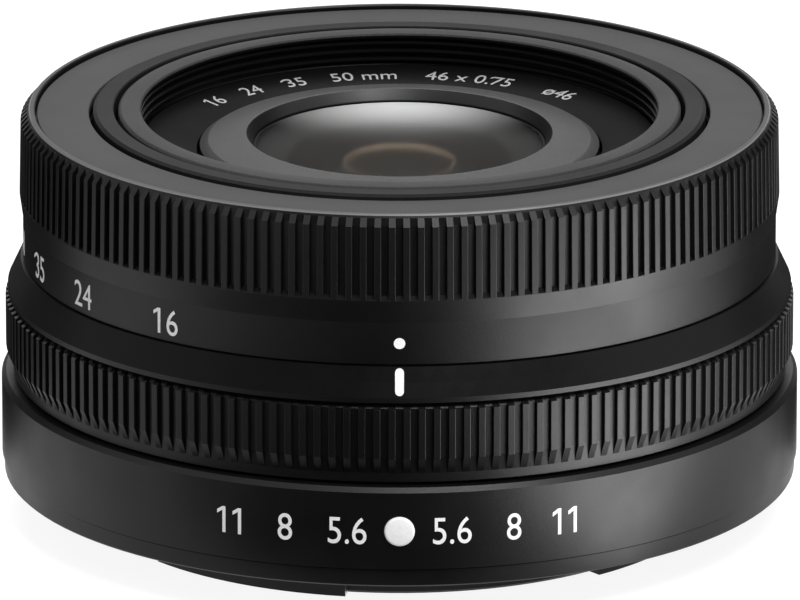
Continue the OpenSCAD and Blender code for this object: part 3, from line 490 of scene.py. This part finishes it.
def ribbed(name, section, first, last, floor, ribs, groove_share, ramp=0.0, edge=0.05):
    """Ring turned from its half section, with grooves down to floor between its points first and last."""
    slack = 0.01
    groove_middle = 0.05
    rib_weld = 0.003
    above_floor = 0.1
    rib_rise = 1.2
    sharp = 40
    facet = 5
    pitch = 2 * math.pi / ribs
    groove = pitch * groove_share
    cos, sin = math.cos(groove / 2), math.sin(groove / 2)
    piece = outline(name, [(r * cos * MM, r * sin * MM, z * MM) for r, z in section])
    bpy.ops.mesh.select_all(action="SELECT")
    for width in (groove, pitch - groove):
        bpy.ops.mesh.spin(steps=1, angle=width, center=(0, 0, 0), axis=(0, 0, 1))
    low, high = first[1] * MM, last[1] * MM
    foot = min(first[0], last[0])
    bpy.ops.mesh.select_mode(type="FACE")
    bpy.ops.mesh.select_all(action="DESELECT")
    sector = bmesh.from_edit_mesh(piece.data)
    for face in sector.faces:
        spot = face.calc_center_median()
        outside = math.hypot(spot.x, spot.y) > (foot + slack) * MM
        if outside and abs(spot.y) < groove_middle * MM and low < spot.z < high:
            face.select_set(True)
    bmesh.update_edit_mesh(piece.data)
    bpy.ops.mesh.extrude_region_move(TRANSFORM_OT_translate={"value": (0, 0, 0)})
    bpy.ops.mesh.select_mode(type="VERT")
    sector = bmesh.from_edit_mesh(piece.data)
    for point in sector.verts:
        if point.select and math.hypot(point.co.x, point.co.y) < (foot + slack) * MM:
            point.select_set(False)
    bmesh.update_edit_mesh(piece.data)
    bpy.ops.transform.resize(value=(0, 1, 1), center_override=(floor * MM, 0, 0))
    if ramp:
        sector = bmesh.from_edit_mesh(piece.data)
        for point in sector.verts:
            if point.select and point.co.z > low + slack * MM:
                point.select_set(False)
        bmesh.update_edit_mesh(piece.data)
        bpy.ops.transform.translate(value=(0, 0, ramp * MM))
    bpy.ops.mesh.select_mode(type="VERT")
    bpy.ops.mesh.select_all(action="SELECT")
    bpy.ops.mesh.remove_doubles(threshold=rib_weld * MM)
    bpy.ops.mesh.select_all(action="SELECT")
    turn = pitch * (ribs - 1)
    bpy.ops.mesh.spin(steps=ribs - 1, dupli=True, angle=turn, center=(0, 0, 0), axis=(0, 0, 1))
    bpy.ops.mesh.select_all(action="SELECT")
    bpy.ops.mesh.remove_doubles(threshold=rib_weld * MM)
    bpy.ops.mesh.normals_make_consistent(inside=False)
    bpy.ops.mesh.select_mode(type="EDGE")
    bpy.ops.mesh.select_all(action="DESELECT")
    ring = bmesh.from_edit_mesh(piece.data)
    for line in ring.edges:
        ends = [math.hypot(end.co.x, end.co.y) for end in line.verts]
        rise = abs(line.verts[0].co.z - line.verts[1].co.z)
        proud = min(ends) > (floor + above_floor) * MM
        if proud and rise > rib_rise * MM and len(line.link_faces) == 2:
            if line.calc_face_angle() > math.radians(sharp):
                line.select_set(True)
    bmesh.update_edit_mesh(piece.data)
    bpy.ops.mesh.bevel(offset=edge * MM, offset_type="OFFSET", segments=2, affect="EDGES")
    bpy.ops.object.mode_set(mode="OBJECT")
    bpy.ops.object.shade_smooth_by_angle(angle=math.radians(facet))
    return piece


ring_ribs = 168
rib_groove = 0.53
corner_break = 0.1
control_bore = 32.51
control_skirt = 33.01
control_land = 33.95
control_crest = 34.6
control_floor = 34.18
control_low = 9.1
control_step = 11.8
control_top = 16.2
rib_rear = (control_land, 9.98)
rib_front = (control_land, control_top - corner_break)
control_section = [(control_skirt, control_low), (control_skirt, control_step), (control_bore, control_step),
                   (control_bore, control_top), (control_land - corner_break, control_top), rib_front,
                   (control_crest, 15.83), (control_crest, 11.43), rib_rear,
                   (control_land, control_low + corner_break), (control_land - corner_break, control_low)]
control_ring = ribbed("control_ring_ribbed", control_section, rib_rear, rib_front, control_floor,
                      ring_ribs, rib_groove)
ring_coat = coat("ring_coat", (0.003, 0.003, 0.0032), 0.4, 0.25, relief=0.01)
paint(control_ring, ring_coat)
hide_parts("control_ring")
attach(control_ring, "control")
finished_copy("code_ring", "control", moulded_black)

# Zoom ring: turned from alloy with a plain band for the scale, cut ribs and a thin rim round the front
# plate, anodised black, the rim's top faces painted light grey as a painted highlight. It turns 85
# degrees and drives the cam barrel.
scale_radius = 33.01
zoom_crest = 33.29
zoom_floor = 32.72
zoom_bore = 31.36
zoom_inside = 31.61
zoom_low = 19.35
track_radius = 31.76
track_low = 19.9
track_high = 21.1
lip_bore = 29.01
lip_back = 30.65
plate_seat = 31.5
rim_bore = 31.9
front_height = 32.65
rib_low = (zoom_crest, 25.2)
rib_high = (32.54, 32.35)
zoom_section = [(zoom_bore, zoom_low), (scale_radius - corner_break, zoom_low),
                (scale_radius, zoom_low + corner_break), (scale_radius, 23.15), (zoom_crest, 25.15), rib_low,
                (33.16, 31.7), rib_high, (32.44, 32.53), (32.32, front_height),
                (rim_bore + corner_break, front_height), (rim_bore, front_height - corner_break),
                (rim_bore, plate_seat), (lip_bore, plate_seat), (lip_bore, lip_back), (zoom_inside, lip_back),
                (zoom_inside, 21.5), (zoom_bore, 21.3), (zoom_bore, track_high), (track_radius, track_high),
                (track_radius, track_low), (zoom_bore, track_low)]
zoom_ring = ribbed("zoom_ring_ribbed", zoom_section, rib_low, rib_high, zoom_floor, ring_ribs, rib_groove,
                   ramp=0.3)
rim_highlight = coat("rim_highlight", (0.12, 0.12, 0.123), 0.35, 0.4, grain=0.08, speck=0.15)
paint(zoom_ring, ring_coat, rim_highlight)
# Painted highlight: the rim's top faces take a light grey coat.
rim_above = 32.5
rim_inside = 32.2
for face in zoom_ring.data.polygons:
    if face.center.z > rim_above * MM and face.center.xy.length > rim_inside * MM:
        face.material_index = 1
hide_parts("zoom_ring")
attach(zoom_ring, "zoom")

# Zoom scale: plain focal lengths and a dot for the folded position, printed in white ink on the zoom
# ring's band and turning with it.
scale_size = 2.4
scale_height = 21.2
scale_figures = {"16": -37.5, "24": -56.0, "35": -71.4, "50": -85.5}
for text, turn in scale_figures.items():
    piece = figures("scale_" + text, text, scale_size)
    wrapped(piece, turn, scale_height, lambda z: scale_radius - INK_SINK)
    paint(piece, white_ink)
    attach(piece, "zoom")
dot_radius = 0.49
dot_height = 21.32
bpy.ops.object.select_all(action="DESELECT")
bpy.ops.mesh.primitive_circle_add(vertices=bar_sides, radius=dot_radius * MM, fill_type="NGON")
fold_dot = bpy.context.object
fold_dot.name = "fold_dot"
bpy.ops.object.mode_set(mode="EDIT")
bpy.ops.mesh.select_all(action="SELECT")
bpy.ops.transform.translate(value=(0, 0, -bar_sink * MM))
bpy.ops.mesh.extrude_region_move(TRANSFORM_OT_translate={"value": (0, 0, bar_thick * MM)})
bpy.ops.mesh.select_all(action="SELECT")
bpy.ops.mesh.normals_make_consistent(inside=False)
bpy.ops.object.mode_set(mode="OBJECT")
wrapped(fold_dot, 0, dot_height, lambda z: scale_radius)
paint(fold_dot, white_ink)
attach(fold_dot, "zoom")

# Front plate: a thin ring stamped from alloy sheet, blasted and coated dark grey. It is bonded into
# the zoom ring and turns with it.


def turned(name, section, steps=360, closed=True, edge=0.0):
    """Ring turned from its half section of (radius, height) in mm, its corners rounded by edge mm."""
    piece = outline(name, [(r * MM, 0, z * MM) for r, z in section], closed)
    if edge:
        bpy.ops.mesh.bevel(offset=edge * MM, offset_type="OFFSET", segments=2, affect="VERTICES")
    return spun(piece, steps)


plate_bore = 27.16
plate_radius = 31.73
plate_face = 32.3
plate_break = 0.08
plate_section = [(plate_bore, plate_seat), (plate_radius, plate_seat),
                 (plate_radius, plate_face - plate_break), (plate_radius - plate_break, plate_face),
                 (plate_bore + plate_break, plate_face), (plate_bore, plate_face - plate_break)]
front_plate = turned("front_plate_piece", plate_section, edge=0.03)
plate_coat = coat("plate_coat", (0.044, 0.044, 0.045), 0.5, 0.035, grain=0.1, speck=0.25)
paint(front_plate, plate_coat)
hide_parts("front_plate")
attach(front_plate, "zoom")

# Cam barrel: an alloy tube with milled helical slots, clear anodised, its front end blackened where
# it lies behind the gap round the plate. It is screwed to the zoom ring and draws the barrels out.
clear_anodised = metal("clear_anodised", (0.5, 0.5, 0.52), 0.4)
cam_barrel = finished_copy("cam_barrel", "zoom", clear_anodised)
cam_barrel.data.materials.append(anodised_black)
blacked_from = 29.5
bpy.ops.object.mode_set(mode="EDIT")
bpy.ops.mesh.select_all(action="SELECT")
bpy.ops.mesh.bisect(plane_co=(0, 0, blacked_from * MM), plane_no=(0, 0, 1))
bpy.ops.object.mode_set(mode="OBJECT")
for face in cam_barrel.data.polygons:
    if face.center.z > blacked_from * MM:
        face.material_index = 1
finished_copy("cam_screws", "zoom", bright_steel)

# Intermediate barrel: a turned alloy tube, anodised black with a satin face, which slides out on
# three brass pins. It carries the iris and the stabiliser.
barrel_coat = coat("barrel_coat", (0.014, 0.014, 0.0145), 0.4, 0.02, grain=0.09)
true_round(finished_copy("intermediate_barrel", "intermediate", barrel_coat, smooth=15))
finished_copy("intermediate_pins", "intermediate", drawn_brass)

# Iris: a housing and cover of black plastic, seven blades of blackened spring steel and a drive ring
# turned by a small motor. The blades swing on pins in the base.
blade_coat = coat("blade_coat", (0.012, 0.012, 0.012), 0.5, 0.3, grain=0.05)
middle_glass = glass("middle_glass", (0.94, 0.95, 0.93), (1.0, 0.85, 0.7), 0.05)
for node in ("unit_housing", "iris_base", "iris_cover"):
    finished_copy(node, "intermediate", moulded_black)
finished_copy("middle_element", "intermediate", middle_glass)
finished_copy("iris_motor", "intermediate", bright_steel)
blade_count = 7
for number in range(1, blade_count + 1):
    finished_copy(f"iris_blade_{number}", f"blade_{number}", blade_coat)
finished_copy("iris_ring", "iris_ring", moulded_black)

# Stabiliser: a lens cell that shifts sideways on two crossed guides, with magnets in the cell and
# wound copper coils on the fixed base.
copper_wire = metal("copper_wire", (0.8, 0.42, 0.22), 0.35, streak=(1, 1, 30))
finished_copy("stabiliser_base", "intermediate", moulded_black)
finished_copy("stabiliser_coils", "intermediate", copper_wire)
finished_copy("shift_guide", "shift_guide", clear_anodised)
finished_copy("shift_cell", "shift_cell", moulded_black)
finished_copy("shift_element", "shift_cell", middle_glass)
finished_copy("shift_magnets", "shift_cell", bright_steel)

# Front barrel: a turned alloy tube with a cut filter thread inside its mouth, anodised black. It
# slides in the intermediate barrel on three brass pins and holds the front lenses.
barrel_bore = 23.31
barrel_radius = 24.61
barrel_back = 6.5
thread_crest = 22.59
thread_root = 23.05
relief_radius = 22.84
seat_bore = 14.55
seat_front = 27.4
seat_back = 26.2
front_section = [(barrel_bore, barrel_back), (barrel_radius, barrel_back), (barrel_radius, 32.45),
                 (24.34, front_height), (22.74, front_height), (thread_crest, 32.5), (thread_crest, 32.25),
                 (thread_root, 32.0), (thread_root, 29.95), (relief_radius, 29.75),
                 (relief_radius, seat_front), (seat_bore, seat_front), (seat_bore, seat_back),
                 (barrel_bore, seat_back)]
front_barrel = turned("front_barrel_piece", front_section, edge=0.03)
rim_coat = coat("rim_coat", (0.03, 0.03, 0.0305), 0.4, 0.03, grain=0.09)
bore_black = coat("bore_black", (0.003, 0.003, 0.003), 0.4, 0.1)
paint(front_barrel, rim_coat, bore_black)
mouth_radius = 23.2
mouth_height = 32.5
for face in front_barrel.data.polygons:
    if face.center.xy.length < mouth_radius * MM and face.center.z < mouth_height * MM:
        face.material_index = 1
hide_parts("front_barrel")
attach(front_barrel, "front")
thread_pitch = 0.75
thread_turns = 3
thread_steps = 180
thread_smooth = 30
thread_low = 29.865
ridge_root = thread_root + 0.03
ridge_half = 0.3
crest_half = 0.06
ridge = [(ridge_root, thread_low - ridge_half), (thread_crest, thread_low - crest_half),
         (thread_crest, thread_low + crest_half), (ridge_root, thread_low + ridge_half)]
filter_thread = outline("filter_thread", [(0, -r * MM, z * MM) for r, z in ridge])
bpy.ops.object.mode_set(mode="OBJECT")
bpy.ops.object.modifier_add(type="SCREW")
cut = filter_thread.modifiers[-1]
cut.axis = "Z"
cut.angle = 2 * math.pi
cut.screw_offset = thread_pitch * MM
cut.iterations = thread_turns
cut.steps = thread_steps
cut.render_steps = thread_steps
cut.use_merge_vertices = True
cut.merge_threshold = WELD
bpy.ops.object.modifier_apply(modifier=cut.name)
bpy.ops.object.mode_set(mode="EDIT")
bpy.ops.mesh.select_all(action="SELECT")
bpy.ops.mesh.remove_doubles(threshold=WELD)
bpy.ops.mesh.fill_holes(sides=0)
bpy.ops.mesh.select_all(action="SELECT")
bpy.ops.mesh.normals_make_consistent(inside=False)
bpy.ops.object.mode_set(mode="OBJECT")
bpy.ops.object.shade_smooth_by_angle(angle=math.radians(thread_smooth))
paint(filter_thread, bore_black)
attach(filter_thread, "front")
finished_copy("front_pins", "front", drawn_brass)

# Name ring: a shallow cone moulded in black plastic with a fine spark texture. It clips in below the
# filter thread and hides the lens cell.
name_outer = (22.44, 29.8)
name_inner = (17.75, 28.95)
name_skirt = 21.44
name_section = [(name_skirt, seat_front), (name_outer[0], seat_front), name_outer, name_inner,
                (name_inner[0], 28.35), (name_skirt, 28.65)]
name_ring = turned("name_ring_piece", name_section, edge=0.04)
name_coat = coat("name_coat", (0.004, 0.004, 0.004), 0.5, 0.02, grain=0.14)
paint(name_ring, name_coat)
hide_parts("name_ring")
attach(name_ring, "front")

# Figures on the name ring: plain numbers for the focal lengths and the filter's width, printed small
# in grey ink along the far arc.
grey_ink = coat("grey_ink", (0.26, 0.26, 0.26), 0.5, 0.3, grain=0.2, speck=0.05)
name_slope = (name_outer[1] - name_inner[1]) / (name_outer[0] - name_inner[0])
name_size = 1.6
figure_row = 20.5
name_figures = {"16": -53, "24": -40, "35": -27, "50 mm": -9, "46 x 0.75": 18, "ø46": 44}
for text, turn in name_figures.items():
    label = text.replace(" ", "_").replace(".", "_").replace("ø", "d")
    piece = figures("ring_" + label, text, name_size, narrow=1.0)
    for point in piece.data.vertices:
        reach = figure_row * MM + point.co.y
        angle = math.radians(turn) + point.co.x / (figure_row * MM)
        face_z = (name_inner[1] + (reach / MM - name_inner[0]) * name_slope - INK_SINK) * MM
        point.co = (reach * math.sin(angle), reach * math.cos(angle), face_z + point.co.z)
    piece.data.update()
    paint(piece, grey_ink)
    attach(piece, "front")

# Front collar and cell: a turned alloy retaining ring screwed over the front lens, and the moulded
# cell behind it that holds three lenses and their spacers.
collar_radius = 17.5
collar_back = 28.5
lens_room = 13.2
window_radius = 12.8
window_back = 29.26
collar_section = [(lens_room, collar_back), (collar_radius, collar_back), (collar_radius, 29.25),
                  (16.75, 29.74), (13.55, 30.3), (13.4, 30.28), (12.85, 29.4), (window_radius, 29.34),
                  (window_radius, window_back), (lens_room, window_back)]
front_collar = turned("front_collar_piece", collar_section, edge=0.02)
collar_coat = coat("collar_coat", (0.042, 0.042, 0.043), 0.4, 0.06, grain=0.09)
wall_coat = coat("wall_coat", (0.005, 0.005, 0.005), 0.4, 0.3, grain=0.09)
paint(front_collar, collar_coat, bore_black, wall_coat)
window_edge = 12.86
wall_edge = 13.42
wall_foot = 29.3
for face in front_collar.data.polygons:
    if face.center.xy.length < window_edge * MM or face.center.z < wall_foot * MM:
        face.material_index = 1
    elif face.center.xy.length < wall_edge * MM:
        face.material_index = 2
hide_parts("front_collar")
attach(front_collar, "front")
for node in ("front_cell", "first_spacer", "second_spacer"):
    finished_copy(node, "front", moulded_black)

# Front lenses: three ground and polished glasses with blackened edges. The first is a meniscus
# with a strong hollow behind, its coat laid on the far side of its face as a painted reflection. The
# second has a dark amber disc, painted shade for the dark inside seen through it, with a light arc
# and a light ring on it that are painted reflections.
# The collar holds them down on their spacers. They cast no shadow here.


def cap(radius, vertex, edge, steps=24):
    """Points of a lens face from its axis to its edge; a positive radius bulges to the front."""
    points = []
    for step in range(steps + 1):
        out = edge * step / steps
        sag = abs(radius) - math.sqrt(radius ** 2 - out ** 2)
        points.append((out, vertex - math.copysign(sag, radius)))
    return points


front_haze = 0.28
bowl_curve = -24
bowl_lean = -0.19
painted_sheen_centre = (0, 13 * MM, 29.5 * MM)
painted_sheen_reach = 18.5
painted_sheen_narrow = 1.4
front_glass = glass("front_glass", (0.75, 0.7, 0.66), (1.0, 0.98, 0.96), front_haze, polish=front_haze)
# Painted reflection: the coat is weighted round a point on the far side of the face and its normal is bent
# into a bowl, so a sheen shows there that the face's own curve doesn't give.
tree = front_glass.node_tree
shader = tree.nodes["Principled BSDF"]
shader.inputs["IOR"].default_value = 1.08
shader.inputs["Coat IOR"].default_value = 1.85
place = tree.nodes.new("ShaderNodeTexCoord")
bowl = tree.nodes.new("ShaderNodeVectorMath")
bowl.operation = "MULTIPLY_ADD"
bowl.inputs[1].default_value = (bowl_curve, bowl_curve, 0)
bowl.inputs[2].default_value = (0, bowl_lean, 1)
tree.links.new(place.outputs["Object"], bowl.inputs[0])
unit = tree.nodes.new("ShaderNodeVectorMath")
unit.operation = "NORMALIZE"
tree.links.new(bowl.outputs["Vector"], unit.inputs[0])
tree.links.new(unit.outputs["Vector"], shader.inputs["Coat Normal"])
wide = tree.nodes.new("ShaderNodeMapping")
wide.inputs["Scale"].default_value = (painted_sheen_narrow, 1, 1)
tree.links.new(place.outputs["Object"], wide.inputs["Vector"])
reach = tree.nodes.new("ShaderNodeVectorMath")
reach.operation = "DISTANCE"
reach.inputs[1].default_value = painted_sheen_centre
tree.links.new(wide.outputs["Vector"], reach.inputs[0])
fade = tree.nodes.new("ShaderNodeMapRange")
fade.interpolation_type = "SMOOTHSTEP"
fade.inputs["From Max"].default_value = painted_sheen_reach * MM
fade.inputs["To Min"].default_value = 1.0
fade.inputs["To Max"].default_value = 0.0
tree.links.new(reach.outputs["Value"], fade.inputs["Value"])
tree.links.new(fade.outputs["Result"], shader.inputs["Coat Weight"])
inner_glass = glass("inner_glass", (0.3, 0.26, 0.23), (1.0, 0.9, 0.8), 0.05)
shader = inner_glass.node_tree.nodes["Principled BSDF"]
shader.inputs["IOR"].default_value = 1.02
shader.inputs["Coat Weight"].default_value = 0.0
edge_black = coat("edge_black", (0.004, 0.004, 0.004), 0.6, 0.05)
stop_edge = 4.6
reflection_ring_width = 0.25
stop_height = 26.495
amber_haze = 0.3
painted_arc_centre = (0, -2 * MM, stop_height * MM)
painted_arc_inside = 4.7
painted_arc_outside = 6.5
dark_socket, light_socket, mixed_socket = 6, 7, 2
# Painted shade and reflection: the disc is dark amber and mostly opaque, standing in for the dark inside seen
# through the lens, and a light amber arc on its far part is a painted reflection of an inner lens's rim.
amber_shade = glass("amber_shade", (0.006, 0.005, 0.003), (1.0, 0.9, 0.8), amber_haze, polish=amber_haze)
tree = amber_shade.node_tree
shader = tree.nodes["Principled BSDF"]
shader.inputs["Transmission Weight"].default_value = 0.3
shader.inputs["IOR"].default_value = 1.2
shader.inputs["Coat Weight"].default_value = 0.0
place = tree.nodes.new("ShaderNodeTexCoord")
bloom = tree.nodes.new("ShaderNodeVectorMath")
bloom.operation = "DISTANCE"
bloom.inputs[1].default_value = painted_arc_centre
tree.links.new(place.outputs["Object"], bloom.inputs[0])
arc = tree.nodes.new("ShaderNodeMapRange")
arc.interpolation_type = "SMOOTHSTEP"
arc.inputs["From Min"].default_value = painted_arc_inside * MM
arc.inputs["From Max"].default_value = painted_arc_outside * MM
tree.links.new(bloom.outputs["Value"], arc.inputs["Value"])
tint = tree.nodes.new("ShaderNodeMix")
tint.data_type = "RGBA"
tint.inputs[light_socket].default_value = (0.3, 0.26, 0.2, 1)
tree.links.new(arc.outputs["Result"], tint.inputs[0])
tree.links.new(tree.nodes["Color Ramp"].outputs["Color"], tint.inputs[dark_socket])
tree.links.new(tint.outputs[mixed_socket], shader.inputs["Base Color"])
# Painted reflection: a light ring round the dark disc stands in for an inner lens's rim.
ring_reflection = coat("ring_reflection", (0.07, 0.06, 0.047), 0.5, 0.2)
first_edge = 13.1
first_back = 26.845
hollow_edge = 9.6
first_face = cap(60, 30.6, first_edge)
first_hollow = cap(20, 29.3, hollow_edge)
first_section = first_face + [(first_edge, first_back), (hollow_edge, first_back)] + first_hollow[::-1][1:]
second_edge = 10.8
second_back = 24.195
second_hollow = cap(26, 25.665, 8.6)
stop_points = [(out, stop_height) for out in (0, stop_edge, stop_edge + reflection_ring_width, second_edge)]
second_section = stop_points + [(second_edge, second_back)] + second_hollow[::-1]
third_edge = 10.2
third_back = 22.495
third_section = cap(24, 25.295, third_edge) + [(third_edge, third_back), (0, third_back)]
# A lens's row: its half section, its clear radius in front and behind, and the height below which is behind.
front_lenses = {
    "front_element": (first_section, 12.82, 9.65, 27),
    "second_element": (second_section, 5.5, 6.5, 25),
    "third_element": (third_section, 5.2, 5.2, 23),
}
lens_steps = 160
lens_finishes = [inner_glass, edge_black, front_glass, amber_shade, ring_reflection]
for node, (section, front_clear, rear_clear, rear_high) in front_lenses.items():
    piece = turned(node + "_piece", section, steps=lens_steps, closed=False)
    paint(piece, *lens_finishes)
    for face in piece.data.polygons:
        out = face.center.xy.length / MM
        rear = face.center.z < rear_high * MM
        if out > front_clear or (rear and out > rear_clear):
            face.material_index = lens_finishes.index(edge_black)
        elif node == "front_element" and face.normal.z > 0:
            face.material_index = lens_finishes.index(front_glass)
        elif node == "second_element" and not rear:
            face.material_index = lens_finishes.index(ring_reflection if out > stop_edge else amber_shade)
    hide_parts(node)
    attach(piece, "front")
    piece.visible_shadow = False

# Stage: a white floor that keeps the shadow, a lamp lying on it at the right, a soft box behind and a
# fill above. Black cards, seen in reflections alone, stand and lie round the lens. The camera looks
# down 17.4 degrees from about 1.2 m.
scene = bpy.context.scene
scene.view_settings.view_transform = "Standard"


def seen_white(tree, strength):
    """Strength for the rays that see the backdrop: camera, glossy and transmission rays."""
    path = tree.nodes.new("ShaderNodeLightPath")
    seen = path.outputs["Is Camera Ray"]
    for name in ("Is Glossy Ray", "Is Transmission Ray"):
        either = tree.nodes.new("ShaderNodeMath")
        either.operation = "MAXIMUM"
        tree.links.new(seen, either.inputs[0])
        tree.links.new(path.outputs[name], either.inputs[1])
        seen = either.outputs["Value"]
    level = tree.nodes.new("ShaderNodeMapRange")
    level.inputs["To Min"].default_value = strength[0]
    level.inputs["To Max"].default_value = strength[1]
    tree.links.new(seen, level.inputs["Value"])
    return level.outputs["Result"]


floor_size = 12
floor_gap = 0.0001
floor_glow = (0.0, 0.9)
bpy.ops.object.select_all(action="DESELECT")
bpy.ops.mesh.primitive_plane_add(size=floor_size, location=(0, 0, cad_low.z - floor_gap))
floor = bpy.context.object
floor.name = "floor"
floor_white = bpy.data.materials.new("floor_white")
floor_white.use_nodes = True
tree = floor_white.node_tree
tree.nodes.remove(tree.nodes["Principled BSDF"])
matt = tree.nodes.new("ShaderNodeBsdfDiffuse")
matt.inputs["Color"].default_value = (0.2, 0.2, 0.2, 1)
glow = tree.nodes.new("ShaderNodeEmission")
tree.links.new(seen_white(tree, floor_glow), glow.inputs["Strength"])
both = tree.nodes.new("ShaderNodeAddShader")
tree.links.new(matt.outputs["BSDF"], both.inputs[0])
tree.links.new(glow.outputs["Emission"], both.inputs[1])
tree.links.new(both.outputs["Shader"], tree.nodes["Material Output"].inputs["Surface"])
floor.data.materials.append(floor_white)

room_glow = (0.55, 1.0)
room = bpy.data.worlds.new("room")
room.use_nodes = True
scene.world = room
backdrop = room.node_tree.nodes["Background"]
backdrop.inputs["Color"].default_value = (1, 1, 1, 1)
room.node_tree.links.new(seen_white(room.node_tree, room_glow), backdrop.inputs["Strength"])


def soft_box(name, place, size, level):
    """Square-on area lamp aimed at the lens; level is the brightness of its face."""
    lens_middle = 0.015
    lamp = bpy.data.lights.new(name, "AREA")
    lamp.shape = "RECTANGLE"
    lamp.size, lamp.size_y = size
    lamp.energy = level * math.pi * size[0] * size[1]
    stand = bpy.data.objects.new(name, lamp)
    scene.collection.objects.link(stand)
    stand.location = place
    aim = stand.location.copy()
    aim.z -= lens_middle
    stand.rotation_euler = aim.to_track_quat("Z", "Y").to_euler()
    stand.visible_camera = False
    return stand


def black_card(name, place, size, lean=0.0, turn=0.0):
    """Black card that only takes the white off what the lens's sides mirror."""
    angles = (math.radians(lean), 0, math.radians(turn))
    bpy.ops.object.select_all(action="DESELECT")
    bpy.ops.mesh.primitive_plane_add(size=1, location=place, rotation=angles)
    card = bpy.context.object
    card.name = name
    card.scale = (*size, 1)
    card.data.materials.append(card_black)
    card.visible_camera = False
    card.visible_diffuse = False
    card.visible_shadow = False
    card.visible_transmission = False


card_black = bpy.data.materials.new("card_black")
card_black.use_nodes = True
shader = card_black.node_tree.nodes["Principled BSDF"]
shader.inputs["Base Color"].default_value = (0.01, 0.01, 0.01, 1)
shader.inputs["Specular IOR Level"].default_value = 0.0
card_level = cad_low.z + 0.0005
lamp_level = cad_low.z + 0.0008
lamp_turn = 8
black_card("floor_card", (-0.012, -0.47, card_level), (0.105, 0.86))
black_card("front_card", (0, -0.9, 0.6), (2.2, 1.21), lean=90)
for side, hand in ((-1, "left"), (1, "right")):
    black_card(hand + "_floor_card", (side * 0.18, 0.155, card_level), (0.28, 0.29))
    black_card(hand + "_back_card", (side * 0.6, 0.6, 0.35), (0.7, 0.71), lean=90, turn=side * -45)
right_light = soft_box("right_light", (0.115, -0.0495, lamp_level), (0.17, 0.058), 10.3)
right_light.rotation_euler = (math.pi, 0, math.radians(lamp_turn))
soft_box("back_box", (0, 0.48, 0.72), (0.7, 0.45), 7)
soft_box("top_fill", (0.25, -0.5, 0.88), (0.5, 0.4), 14.5)

focal_length = 595.06
frame_shift = 0.0006
camera_place = (0, -1.108845, 0.362334)
look_down = 0.3037
lens_camera = bpy.data.cameras.new("view")
lens_camera.sensor_width = 36
lens_camera.lens = focal_length
lens_camera.shift_x = frame_shift
lens_camera.shift_y = frame_shift
lens_camera.clip_start = 0.05
camera = bpy.data.objects.new("view", lens_camera)
scene.collection.objects.link(camera)
camera.location = camera_place
camera.rotation_euler = (math.pi / 2 - look_down, 0, 0)
scene.camera = camera
